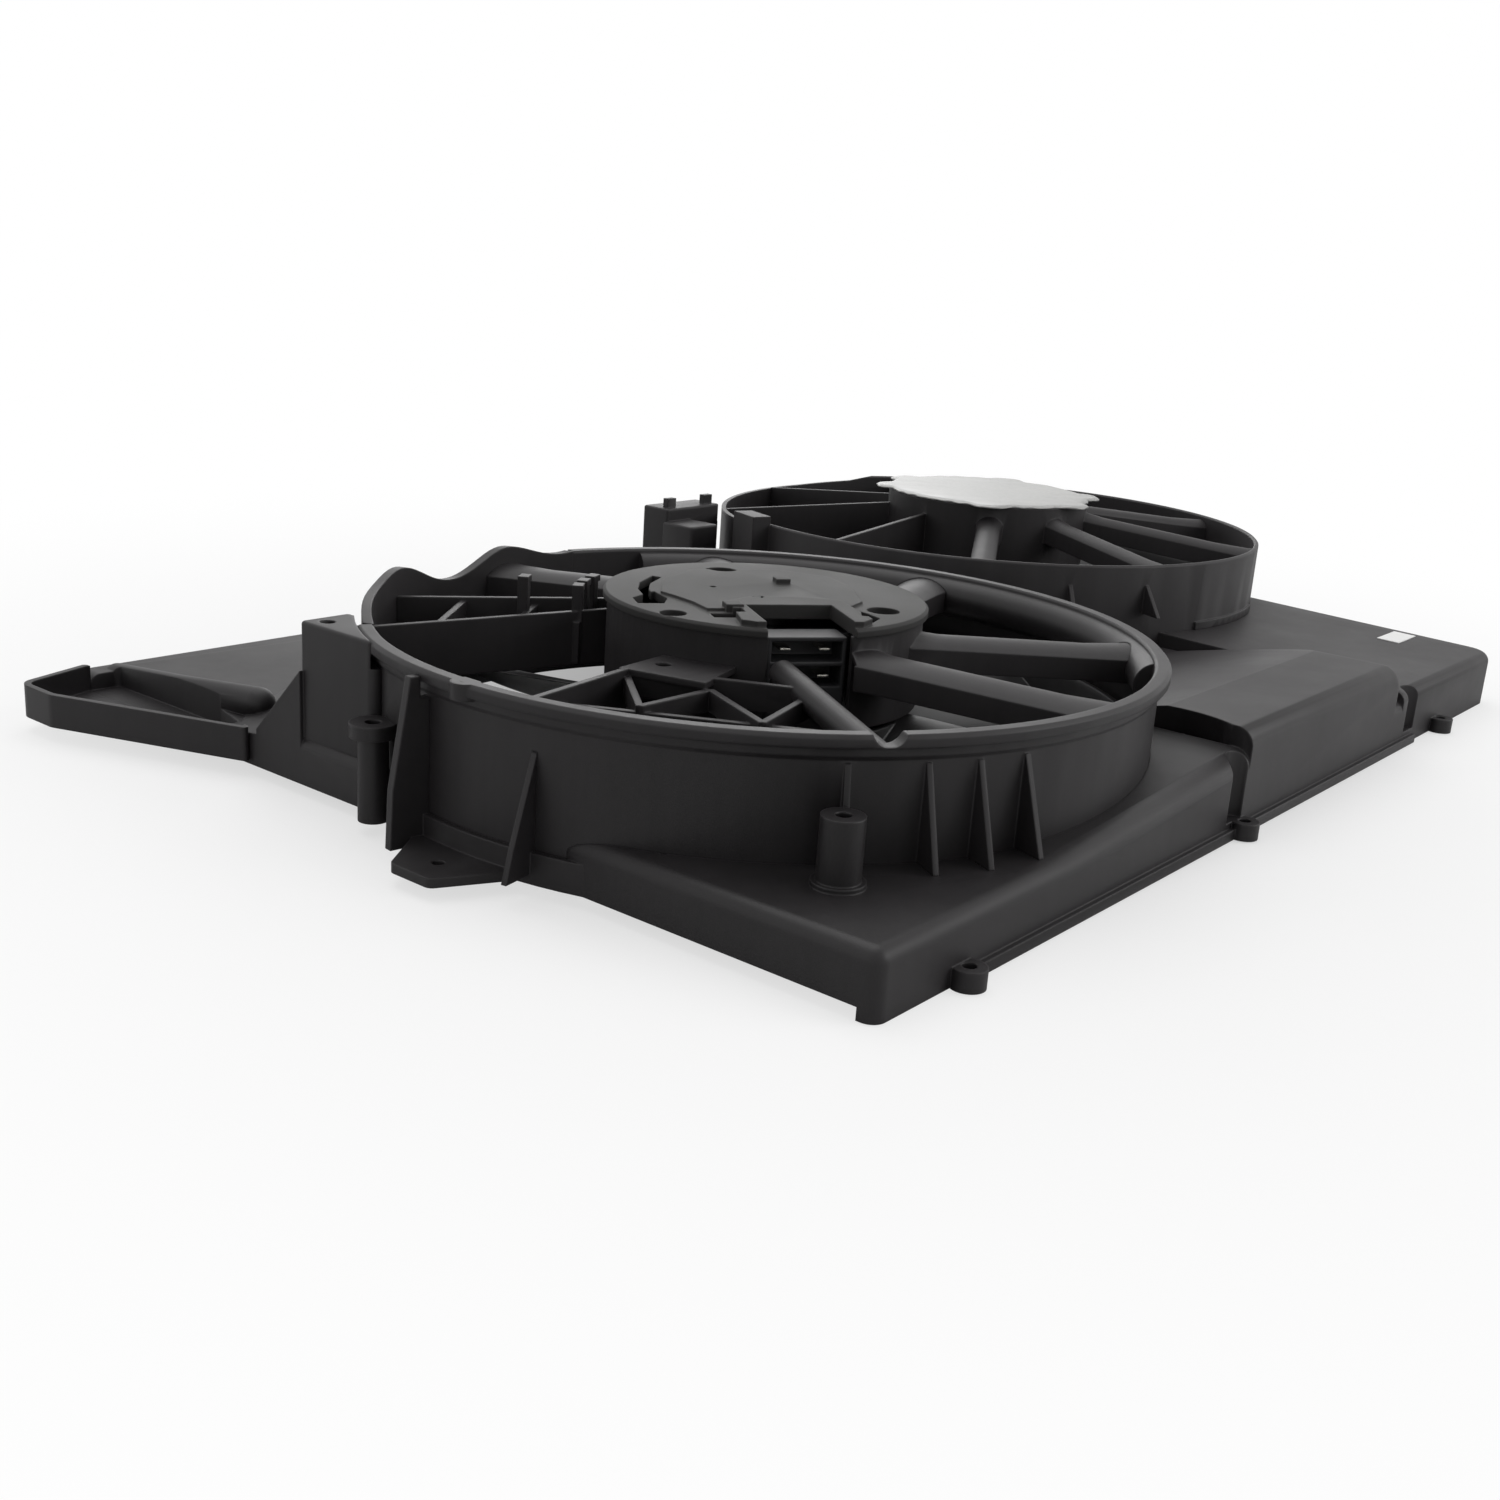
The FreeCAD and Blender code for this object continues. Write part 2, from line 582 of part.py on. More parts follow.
def makeFarRing():
    far = (dims.farShiftX, dims.farShiftY)
    reach = dims.gussetReach
    ring = makeRing(far, dims.throatLow, dims.ductHigh, [(244, reach), (228, reach)], False)
    nozzle = upright([(ringOuter - 1, 50), (ringOuter + 12, 60), (ringOuter + 12, 84), (ringOuter - 1, 84)],
                     24, 160, far).cut(disc(dims.ringInner, 0, 200, far))
    patch = tube(ringOuter - 1, ringOuter + 1.6, dims.deckHigh + 1, dims.deckHigh + 15, far)
    wedge = Part.makeCylinder(ringOuter + 5, 80, at(*far), Vector(0, 0, 1), 28)
    wedge.rotate(at(*far), Vector(0, 0, 1), 258)
    # the rim dips at the back left
    out, across = Vector(*polar(1, 110), 0), Vector(*polar(1, 20), 0)
    dip = [(118, 0.5), (134, -3.5), (163, -5.5), (195, -6), (195, 12), (118, 12)]
    spots = [at(*far, dims.rimTop + rise) + out * along - across * 150 for along, rise in dip]
    cutter = Part.Face(Part.makePolygon(spots + spots[:1])).extrude(across * 300)
    return ring.cut(cutter).multiFuse([nozzle, patch.common(wedge)]).removeSplitter()


def arch(start, end, zStart, zEnd, wide, skin):
    # a hollow vane with a rounded back that flares out at both ends
    a, b = at(*start, zStart), at(*end, zEnd)
    along = (b - a).normalize()
    side = along.cross(Vector(0, 0, 1)).normalize()
    up = side.cross(along).normalize()
    high = dims.vaneHigh

    def section(share, widen, wall):
        middle = a + (b - a) * share
        half, tall = wide * widen / 2 - wall, high * 0.5 * widen - wall
        shoulder, foot = up * (tall * 0.35), up * (high * 0.65)
        left, right = middle - side * half, middle + side * half
        arc = Part.Arc(left + shoulder, middle + up * tall, right + shoulder).toShape()
        sides = Part.makePolygon([right + shoulder, right - foot, left - foot, left + shoulder])
        return Part.Wire([arc] + sides.Edges)
    flares = ((0, 1.3), (0.16, 1.0), (0.74, 1.0), (0.9, 1.16), (1, 1.5))
    outside = Part.makeLoft([section(share, widen, 0) for share, widen in flares], True, True)
    inside = Part.makeLoft([section(share, widen, skin) for share, widen in flares], True, True)
    return outside.cut(inside)


def makeStator(centre, lift, carrier, vanes, lean, wide, arms):
    low, top = dims.carrierLow + lift, dims.coverLow + lift
    inner = carrier - dims.carrierSkin
    profile = [(carrier, low), (carrier, top), (inner, top), (inner, low + dims.carrierFloor),
               (dims.canRadius + dims.canGap, low + dims.carrierFloor), (dims.canRadius + dims.canGap, low)]
    wire = Part.makePolygon([at(centre[0] + r, centre[1], z) for r, z in profile + profile[:1]])
    cup = Part.Face(wire).revolve(at(*centre), Vector(0, 0, 1), 360)
    spokes = []
    zHub, zRim = dims.rimTop + lift - 4, dims.rimTop - dims.vaneDrop
    for angle in vanes:
        start, end = polar(carrier - 10, angle, centre), polar(ringOuter + 6, angle + lean, centre)
        spokes.append(arch(start, end, zHub, zRim, wide, dims.vaneSkin))
    for angle, rim in arms:
        start, end = polar(carrier - 8, angle, centre), polar(ringOuter + 6, rim, centre)
        a, b = at(*start), at(*end)
        side = (b - a).cross(Vector(0, 0, 1)).normalize() * (dims.armThick / 2)
        top0, top1 = zHub + 4, dims.rimTop - 6
        deep = dims.armDeep
        wire = Part.makePolygon([Vector(a.x, a.y, top0) - side, Vector(b.x, b.y, top1) - side,
                                 Vector(b.x, b.y, top1 - deep) - side, Vector(a.x, a.y, top0 - deep) - side,
                                 Vector(a.x, a.y, top0) - side])
        spokes.append(Part.Face(wire).extrude(side * 2))
    web = fused(spokes).common(tube(carrier - 1, dims.ringInner, low, 200, centre))
    for turn in (60, 180, 300):
        place = polar(screwCircle, turn, centre)
        cup = cup.cut(disc(dims.screwRadius, low - 1, low + dims.carrierFloor + 1, place))
    return cup.fuse(web).removeSplitter()


def makeNearStator():
    stator = makeStator((0, 0), 0, dims.carrierRadius, [252, 292, 346, 26, 66], dims.vaneLean, dims.vaneWide,
                        [(120, 142), (99, 121)])
    # cross ribs and four clips hold the wires between the two arms
    extras = []
    for radius in (88, 116, 150):
        p, q = at(*polar(radius, 103 + radius * 0.08)), at(*polar(radius, 124 + radius * 0.08))
        low, top = dims.rimTop - dims.armDeep, dims.rimTop - 6
        side = (q - p).cross(Vector(0, 0, 1)).normalize() * (dims.armThick / 2)
        corners = ((p, low), (q, low), (q, top), (p, top), (p, low))
        wire = Part.makePolygon([Vector(c.x, c.y, z) - side for c, z in corners])
        extras.append(Part.Face(wire).extrude(side * 2))
    for radius, angle in ((88, 112), (88, 120), (88, 128), (116, 122)):
        x, y = polar(radius, angle)
        post = block(x - 2.5, x + 2.5, y - 2.5, y + 2.5, dims.rimTop - 20, dims.coverLow + 2)
        hook = block(x - 2.5, x + 5, y - 2.5, y + 2.5, dims.coverLow - 1, dims.coverLow + 2)
        extras += [turned(shape, angle - 90, (x, y)) for shape in (post, hook)]
    stator = stator.multiFuse(extras)
    # the connector looks out through the carrier's wall
    half = dims.plugWide / 2 + 1
    window = block(dims.canRadius + dims.canGap + 3, dims.carrierRadius + 5, -half, half,
                   dims.carrierLow + dims.carrierFloor, 120)
    return stator.cut(turned(window, dims.plugAngle))


def makeFarStator():
    far = (dims.farShiftX, dims.farShiftY)
    # rounded vanes on the side of the duct, thin arms on the others
    return makeStator(far, dims.farLift, dims.farCarrierRadius, [214, 254, 294, 334], -3, dims.farVaneWide,
                      [(174, 178), (134, 134), (94, 94), (54, 54), (14, 14)])


def makeTruss():
    # braced frame from the carrier to the front rim
    start, end = dims.carrierRadius, dims.ringInner
    top = dims.rimTop - 5
    deep = 22
    thick = dims.armThick

    def web(p, q, high, tall):
        a, b = at(*p), at(*q)
        side = (b - a).cross(Vector(0, 0, 1)).normalize() * (thick / 2)
        corners = [(a, high), (b, high), (b, high - tall), (a, high - tall), (a, high)]
        wire = Part.makePolygon([Vector(c.x, c.y, z) - side for c, z in corners])
        return Part.Face(wire).extrude(side * 2)
    left = (polar(start - 3, 184), polar(end + 4, 187))
    right = (polar(start - 3, 228), polar(end + 4, 234))
    parts = [web(*left, top, deep), web(*right, top - 8, deep - 8)]
    parts.append(web(polar(104, 185), polar(104, 230), top, 12))
    knots = [polar(104, 185.5), polar(142, 199), polar(104, 207), polar(146, 219), polar(104, 229.5)]
    for p, q in zip(knots, knots[1:]):
        parts.append(web(p, q, top - 3, 9))
    parts.append(web(polar(150, 186.5), polar(150, 233.5), top - 6, 10))
    plate = prism([(*polar(start - 2, 183), 0), (*polar(106, 184), 0), (*polar(106, 206), 0),
                   (*polar(start - 2, 210), 0)], top - 3, top)
    parts.append(plate)
    a, b = at(*polar(start + 2, 225), top - 1), at(*polar(end + 3, 234), top - 8)
    parts.append(Part.makeCylinder(6, (b - a).Length, a, b - a))
    frame = fused(parts).common(tube(start, end, 0, 200))
    return frame.cut(disc(3.5, 0, 200, polar(88, 190))).removeSplitter()


def makeEar():
    # open-topped pocket that reaches out at the rear left
    tip = -dims.earOut
    corners = [(-dims.leftWall, 146, 2), (tip, 254, 10), (tip, 282, 10), (-dims.leftWall, 296, 2)]
    inner = [(-dims.leftWall, 154, 1), (tip + 3, 255.5, 8), (tip + 3, 279.5, 7), (-dims.leftWall, 292.5, 1)]
    low, high = dims.earLow, dims.earLow + dims.earHigh
    ear = prism(corners, low, high).cut(prism(inner, low + dims.skin, high + 1))
    ear = ear.cut(block(-dims.leftWall, 0, 0, 400, 0, 60))
    return ear.cut(disc(2.5, 0, 40, (tip + 18, 262))).removeSplitter()


# fans: hub, swept blades and the band that joins their tips

def bladeSection(radius, turn, chord, pitch, low):
    # a thin curved plate seen along the radius, centred at the turn angle
    lean = math.radians(pitch)
    half, skin = chord / 2, dims.bladeSkin / 2
    bow = chord * 0.09

    def spot(u, v):
        across = u * math.cos(lean) - v * math.sin(lean)
        up = u * math.sin(lean) + v * math.cos(lean)
        place = Vector(radius, across, low + up)
        return FreeCAD.Rotation(Vector(0, 0, 1), turn).multVec(place)
    upper = Part.Arc(spot(-half, skin), spot(0, bow + skin), spot(half, skin)).toShape()
    lower = Part.Arc(spot(half, -skin), spot(0, bow - skin), spot(-half, -skin)).toShape()
    ends = [Part.LineSegment(spot(half, skin), spot(half, -skin)).toShape(),
            Part.LineSegment(spot(-half, -skin), spot(-half, skin)).toShape()]
    return Part.Wire([upper, ends[0], lower, ends[1]])


def makeFan():
    hub, skin = dims.hubRadius, dims.hubSkin
    band = dims.ringInner - dims.fanGap
    low, high = dims.hubLow, dims.hubHigh
    middle = (dims.bandLow + dims.bandHigh) / 2

    def revolve(points):
        wire = Part.makePolygon([Vector(r, 0, z) for r, z in points + points[:1]])
        return Part.Face(wire).revolve(Vector(0, 0, 0), Vector(0, 0, 1), 360)
    bossTop = dims.canLow - 1.5
    cup = revolve([(dims.shaftRadius, low), (hub - 3, low), (hub, low + 3), (hub, high), (hub - skin, high),
                   (hub - skin, low + skin + 1), (dims.hubBoss, low + skin), (dims.hubBoss, bossTop),
                   (dims.shaftRadius, bossTop)])
    bandIn, top = band - dims.bandWall, dims.bandHigh
    rim = revolve([(bandIn, dims.bandLow), (band, dims.bandLow), (band, top - 3), (band + 1.6, top),
                   (band - 1, top), (bandIn, top - 3)])
    pitch, sweep = dims.bladePitch, dims.bladeSweep
    sections = [(hub - 14, 0, 46, pitch + 8), (hub + 30, -sweep * 0.35, 54, pitch + 3),
                (band + 6, -sweep, 66, pitch - 6)]
    wires = [bladeSection(r, turn, chord, pitch, middle) for r, turn, chord, pitch in sections]
    blade = Part.makeLoft(wires, True, False)
    keep = Part.makeCylinder(band - 0.8, 60).cut(Part.makeCylinder(hub - 1.2, 60))
    blade = blade.common(keep)
    blades = []
    for number in range(int(dims.bladeCount)):
        copy = blade.copy()
        copy.rotate(Vector(0, 0, 0), Vector(0, 0, 1), number * 360 / dims.bladeCount)
        blades.append(copy)
    return cup.multiFuse(blades + [rim]).removeSplitter()


# the motor pieces, each a body of its own, drawn round its own axis

def drawMagnet(sketch, inner, outer, edge):
    # half ring between two radii, with its flat ends a little off the middle line
    side = math.copysign(1, edge)
    flat = abs(edge)
    spots = []
    for radius in (inner, outer):
        reach = math.sqrt(radius * radius - flat * flat)
        spots.append((Vector(-reach, edge, 0), Vector(0, side * radius, 0), Vector(reach, edge, 0)))
    (a, b, c), (d, e, f) = spots
    arcs = [sketch.addGeometry(Part.Arc(*three), False) for three in ((a, b, c), (d, e, f))]
    ends = [sketch.addGeometry(Part.LineSegment(*two), False) for two in ((a, d), (c, f))]
    for arc, radius in zip(arcs, (inner, outer)):
        sketch.addConstraint(Sketcher.Constraint("Coincident", arc, 3, -1, 1))
        pin(sketch, "Radius", arc, radius)
    first, last = (2, 1) if side > 0 else (1, 2)
    for line, spot in zip(ends, (first, last)):
        sketch.addConstraint(Sketcher.Constraint("Coincident", line, 1, arcs[0], spot))
        sketch.addConstraint(Sketcher.Constraint("Coincident", line, 2, arcs[1], spot))
        sketch.addConstraint(Sketcher.Constraint("Horizontal", line))
    pin(sketch, "DistanceY", -1, 1, ends[0], 1, edge)
    pin(sketch, "DistanceY", -1, 1, ends[1], 1, edge)


def makeMotor(prefix, x, y, lift):
    can, skin = dims.canRadius, dims.canSkin
    shaft, bore = dims.shaftRadius, dims.shaftRadius + dims.runGap
    seat, wall = dims.bearingOuter, dims.seatWall
    low, high = dims.canLow, dims.canHigh
    floor = dims.carrierLow + dims.carrierFloor
    z = lift

    body = newBody(prefix + "_motor_can", x, y, z)
    flangeTop, base = floor + dims.flangeThick, low + 6
    flange = screwCircle + dims.flangeEdge
    spun(body, [(seat - 2, low), (seat + wall, low), (seat + wall, base), (can, base), (can, floor),
                (flange, floor), (flange, flangeTop), (can, flangeTop), (can, high),
                (can - skin, high), (can - skin, base + skin), (seat, base + skin), (seat, low + 1.5),
                (seat - 2, low + 1.5)])
    angle = math.radians(60)
    for turn in (0, 120, 240):
        place = (screwCircle * math.cos(angle + math.radians(turn)),
                 screwCircle * math.sin(angle + math.radians(turn)))
        sunk(body, lambda sketch: drawCircle(sketch, dims.screwRadius + 0.2, *place),
             floor + dims.flangeThick, dims.flangeThick)

    body = newBody(prefix + "_lower_bearing", x, y, z)
    spun(body, [(bore, low + 1.5), (seat, low + 1.5), (seat, low + 1.5 + dims.bearingHigh),
                (bore, low + 1.5 + dims.bearingHigh)])

    body = newBody(prefix + "_end_plate", x, y, z)
    spun(body, [(bore + 1, high), (can, high), (can, high + 2), (seat + wall, high + 2),
                (seat + wall, high + 7), (seat, high + 7), (seat, high + 1.5), (bore + 1, high + 1.5)])

    body = newBody(prefix + "_upper_bearing", x, y, z)
    spun(body, [(bore, high + 1.5), (seat, high + 1.5), (seat, high + 7), (bore, high + 7)])

    magnetIn = can - skin - dims.magnetThick
    core = magnetIn - dims.airGap
    magnetLow = high - dims.coreDrop - dims.coreHigh
    body = newBody(prefix + "_magnets", x, y, z)
    for side in (1, -1):
        edge = 7 * side
        raised(body, lambda sketch: drawMagnet(sketch, magnetIn, can - skin, edge), magnetLow, dims.coreHigh)

    body = newBody(prefix + "_shaft", x, y)
    top = high + 8.2 + lift
    tip = dims.shaftLow
    spun(body, [(0.0, tip), (shaft - 0.6, tip), (shaft, tip + 0.6), (shaft, top - 0.6), (shaft - 0.6, top),
                (0.0, top)])

    body = newBody(prefix + "_armature_core", x, y, z)
    raised(body, lambda sketch: (drawCircle(sketch, core), drawCircle(sketch, shaft)), magnetLow,
           dims.coreHigh)
    slot = sunk(body, lambda sketch: drawLoop(sketch, rectangle(core - 9, core + 1, -1.5, 1.5)),
                magnetLow + dims.coreHigh, dims.coreHigh)
    repeated(body, slot, 10)

    body = newBody(prefix + "_windings", x, y, z)
    inner = dims.commutatorRadius + 1
    for end in (magnetLow - dims.windingHigh, magnetLow + dims.coreHigh):
        raised(body, lambda sketch: (drawCircle(sketch, core - dims.windingDrop), drawCircle(sketch, inner)),
               end, dims.windingHigh)

    body = newBody(prefix + "_commutator", x, y, z)
    start = magnetLow + dims.coreHigh
    raised(body, lambda sketch: (drawCircle(sketch, dims.commutatorRadius), drawCircle(sketch, shaft)),
           start, dims.commutatorHigh + 8)

    body = newBody(prefix + "_brush_card", x, y, z)
    card = start + dims.windingHigh + 1
    opening = dims.commutatorRadius + 4
    raised(body, lambda sketch: (drawCircle(sketch, can - skin), drawCircle(sketch, opening)), card,
           dims.cardThick)

    body = newBody(prefix + "_brushes", x, y, z)
    near = dims.commutatorRadius + dims.brushGap
    half = dims.brushWide * 0.5
    for side in (1, -1):
        reach = rectangle(near * side, (near + 14) * side, -half, half)
        raised(body, lambda sketch: drawLoop(sketch, reach), card + dims.cardThick, 5)

    body = newBody(prefix + "_fan_nut", x, y, 0)
    reach = dims.nutFlats * (0.5 / math.cos(math.radians(30)))
    hexagon = [(reach * math.cos(math.radians(60 * k)), reach * math.sin(math.radians(60 * k)))
               for k in range(6)]
    raised(body, lambda sketch: (drawLoop(sketch, hexagon), drawCircle(sketch, shaft)),
           dims.hubLow - dims.nutHigh, dims.nutHigh)

    body = newBody(prefix + "_motor_screws", x, y, z)
    head = floor + dims.flangeThick
    for turn in (60, 180, 300):
        cosine, sine = math.cos(math.radians(turn)), math.sin(math.radians(turn))
        place = (screwCircle * cosine, screwCircle * sine)
        raised(body, lambda sketch: drawCircle(sketch, dims.screwHeadRadius, *place), head,
               dims.screwHeadHigh)
        raised(body, lambda sketch: drawCircle(sketch, dims.screwRadius - 0.1, *place), dims.carrierLow,
               head - dims.carrierLow)


# covers and the connector, which stand turned to the connector's side

def face(piece, angle):
    turn = FreeCAD.Rotation(Vector(0, 0, 1), float(angle))
    piece.Placement = FreeCAD.Placement(piece.Placement.Base, turn)
    piece.setExpression("Placement.Rotation.Angle", angle.text)


def makeCover():
    # drawn in its own frame: x points from the middle out over the connector
    body = newBody("near_motor_cover", nearX, nearY)
    low, top = dims.coverLow, dims.coverLow + dims.coverThick
    radius = dims.carrierRadius + dims.coverOver
    spun(body, [(0.0, low), (radius, low), (radius, top - 1.2), (radius - 1.2, top), (0.0, top)])
    plateau = [(-50, -24), (-24, -44), (2, -51), (12, -46), (24, -41), (38, -38), (38, 26), (22, 40),
               (-10, 46), (-34, 42), (-52, 20)]
    hood = [(18, -12), (28, -26), (66, -30), (70, -24), (70, 24), (64, 30), (26, 28), (18, 14)]
    pegs = [(-22.5, -15.5, 9.5, 16.5), (33, 41, -30, -22)]
    raised(body, lambda sketch: drawLoop(sketch, plateau), top, dims.plateThick)
    raised(body, lambda sketch: drawLoop(sketch, hood), top, dims.hoodHigh)
    for peg in pegs:
        raised(body, lambda sketch: drawLoop(sketch, rectangle(*peg)), top, dims.pegHigh)
    half = dims.plugWide * 0.5 + 2
    window = rectangle(dims.canRadius - 6, radius + 2, -half, half)
    curve = [(60, 276), (60, 262), (60, 248), (60, 230), (55, 230), (55, 248), (55, 262), (55, 272)]
    slots = [[polar(r, turn) for r, turn in curve],
             [(11, -66), (-3, -53), (12, -50), (23, -54), (23, -66)],
             [(31, 31), (48, 30), (58, 27), (60, 32), (52, 38), (44, 36)],
             rectangle(43, 51, -38, -24)]
    for loop in [window] + slots:
        sunk(body, lambda sketch: drawLoop(sketch, loop), top + dims.hoodHigh,
             dims.coverThick + dims.pegHigh)
    for reach, turn, hole in ((69, -52, 6), (54, 188, 8), (58, 51, 7.5), (25, 250, 1.5), (22, 334, 2.5)):
        place = polar(reach, turn)
        sunk(body, lambda sketch: drawCircle(sketch, hole, *place), top + dims.hoodHigh,
             dims.coverThick + dims.pegHigh)
    face(body, dims.plugAngle)


def makePlate():
    # thin bright heat shield over the far motor, with three ears for its clips
    body = newBody("far_motor_plate", farX, farY, dims.farLift)
    low, radius, thick = dims.coverLow, dims.farCarrierRadius + dims.coverOver, dims.plateThick
    spun(body, [(0.0, low), (radius, low), (radius, low + thick), (radius - 8, low + thick),
                (radius - 10, low + thick * 2), (0.0, low + thick * 2)])
    ear = raised(body, lambda sketch: drawLoop(sketch, rectangle(radius - 4, radius + 7, -6, 6)), low,
                 dims.plateThick)
    repeated(body, ear, 6)


def box(name, x0, x1, y0, y1, z0, z1):
    # a box whose six sides follow the sheet
    made = doc.addObject("Part::Box", name)
    for side, start, end, axis in (("Length", x0, x1, "x"), ("Width", y0, y1, "y"), ("Height", z0, z1, "z")):
        made.setExpression(side, textOf(end - start))
        made.setExpression(f"Placement.Base.{axis}", textOf(start))
    return made


def placedAtNear(piece):
    piece.setExpression("Placement.Base.x", nearX.text)
    piece.setExpression("Placement.Base.y", nearY.text)
    face(piece, dims.plugAngle)


def makeConnector():
    half, wall = dims.plugWide * 0.5, dims.plugWall
    back = dims.canRadius + dims.canGap + 8
    front = back + dims.plugDeep
    high = dims.coverLow - 1
    low = high - dims.plugHigh
    seat = dims.carrierLow + dims.carrierFloor + dims.flangeThick
    shell = box("connector_shell", back, front, -half, half, seat, high)
    middle = low + dims.plugHigh * 0.5
    rib = wall * 0.5
    sides = (back + wall, front + 1, wall - half, half - wall)
    upper = box("upper_socket", *sides, middle + rib, high - wall)
    lower = box("lower_socket", *sides, low + wall, middle - rib)
    sockets = doc.addObject("Part::MultiFuse", "sockets")
    sockets.Shapes = [upper, lower]
    housing = doc.addObject("Part::Cut", "connector_housing")
    housing.Base, housing.Tool = shell, sockets
    housing.Label = "connector_housing"
    placedAtNear(housing)
    pins = []
    for number, (across, rise) in enumerate(((0.5, 0.75), (-0.5, 0.75), (0.5, 0.25), (-0.5, 0.25))):
        y = half * across
        z = low + dims.plugHigh * rise - dims.pinThick * 0.5
        pins.append(box(f"pin_{number}", back + wall, front - 3, y - 2.4, y + 2.4, z, z + dims.pinThick))
    terminals = doc.addObject("Part::Compound", "connector_terminals")
    terminals.Links = pins
    terminals.Label = "connector_terminals"
    placedAtNear(terminals)


# the rings give way to the deck that they stand on, and to the vanes that run into them
deck, nearStator = makeDeck(), makeNearStator()
addShape("shroud_deck", deck)
addShape("near_ring", makeNearRing().cut(deck).cut(nearStator))
addShape("far_ring", makeFarRing().cut(deck))
addShape("near_stator", nearStator)
addShape("far_stator", makeFarStator())
addShape("front_truss", makeTruss())
addShape("side_ear", makeEar())
addShape("near_fan", makeFan(), at(0, 0))
addShape("far_fan", makeFan(), at(dims.farShiftX, dims.farShiftY))
makeMotor("near", nearX, nearY, dims.farLift * 0)
makeMotor("far", farX, farY, dims.farLift)
makeCover()
makePlate()
makeConnector()
doc.recompute()

# every top piece is checked before anything is written
inside = {"connector_shell", "upper_socket", "lower_socket", "sockets", "pin_0", "pin_1", "pin_2", "pin_3"}
kinds = ("Part::Feature", "PartDesign::Body", "Part::Cut", "Part::Compound")
pieces = [item for item in doc.Objects if item.TypeId in kinds and item.Name not in inside]
for item in doc.Objects:
    if "Invalid" in item.State or "Error" in item.State:
        raise RuntimeError(item.Name + " failed: " + str(item.State))
for piece in pieces:
    if piece.Shape.isNull() or not piece.Shape.isValid() or not piece.Shape.Solids:
        raise RuntimeError(piece.Label + " has no valid solid")
for piece in pieces:
    piece.Shape.exportStep(f"parts/{piece.Label}.step")
    print(piece.Label, len(piece.Shape.Solids), round(piece.Shape.Volume / 1000, 1))
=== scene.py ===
import bmesh
import bpy
import json
import math
import numpy as np
from mathutils import Matrix, Vector
from mathutils.bvhtree import BVHTree


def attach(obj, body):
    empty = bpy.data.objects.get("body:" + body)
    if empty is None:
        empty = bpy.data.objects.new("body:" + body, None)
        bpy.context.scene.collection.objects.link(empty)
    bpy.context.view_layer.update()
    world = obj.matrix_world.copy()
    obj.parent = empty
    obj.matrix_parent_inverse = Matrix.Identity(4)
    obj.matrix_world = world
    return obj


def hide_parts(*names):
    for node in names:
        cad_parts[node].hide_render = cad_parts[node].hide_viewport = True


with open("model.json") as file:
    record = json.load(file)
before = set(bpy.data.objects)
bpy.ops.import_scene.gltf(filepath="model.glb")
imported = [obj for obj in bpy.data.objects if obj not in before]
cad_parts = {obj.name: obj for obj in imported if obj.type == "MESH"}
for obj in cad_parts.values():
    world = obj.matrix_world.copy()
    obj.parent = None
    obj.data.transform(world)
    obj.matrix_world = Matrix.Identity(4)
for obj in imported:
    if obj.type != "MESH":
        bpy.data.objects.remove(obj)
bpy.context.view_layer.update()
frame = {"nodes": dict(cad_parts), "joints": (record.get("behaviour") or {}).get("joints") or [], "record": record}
nodes = frame["nodes"]
slotOf = {part["node"]: part["material_slot"] for part in frame["record"]["subparts"]}
print("frame loaded:", len(nodes), "nodes")


# camera, matched to the two rings' ellipses and the straight skirt edges in the picture
camera = {
    "fromNearAxis": (-0.6012, -0.4732, 0.2471),   # metres from the near fan's axis at floor height
    "yaw": 38.403, "pitch": 16.87, "roll": 3.84,  # degrees: heading, downward tilt, lean
    "focal": 1662.4, "frameSize": 1500,           # both in pixels of the picture
    "sensor": 36.0, "clipStart": 0.01,
}


def axisOf(jointName):
    joint = [j for j in frame["joints"] if j["name"] == jointName][0]
    return Vector((joint["pos_m"][0], joint["pos_m"][1], 0))


nearAxis = axisOf("near_fan_spin")
farAxis = axisOf("far_fan_spin")


def makeCamera():
    yaw, pitch, roll = (math.radians(camera[k]) for k in ("yaw", "pitch", "roll"))
    ahead = Vector((math.cos(yaw) * math.cos(pitch), math.sin(yaw) * math.cos(pitch), -math.sin(pitch)))
    right = Vector((math.sin(yaw), -math.cos(yaw), 0))
    up = right.cross(ahead)
    leanRight = right * math.cos(roll) + up * math.sin(roll)
    leanUp = up * math.cos(roll) - right * math.sin(roll)
    data = bpy.data.cameras.new("photoCamera")
    data.sensor_width = camera["sensor"]
    data.lens = camera["sensor"] * camera["focal"] / camera["frameSize"]
    data.clip_start = camera["clipStart"]
    made = bpy.data.objects.new("photoCamera", data)
    turn = Matrix((leanRight, leanUp, -ahead)).transposed().to_4x4()
    made.matrix_world = Matrix.Translation(nearAxis + Vector(camera["fromNearAxis"])) @ turn
    bpy.context.scene.collection.objects.link(made)
    bpy.context.scene.camera = made


makeCamera()
print("camera set")


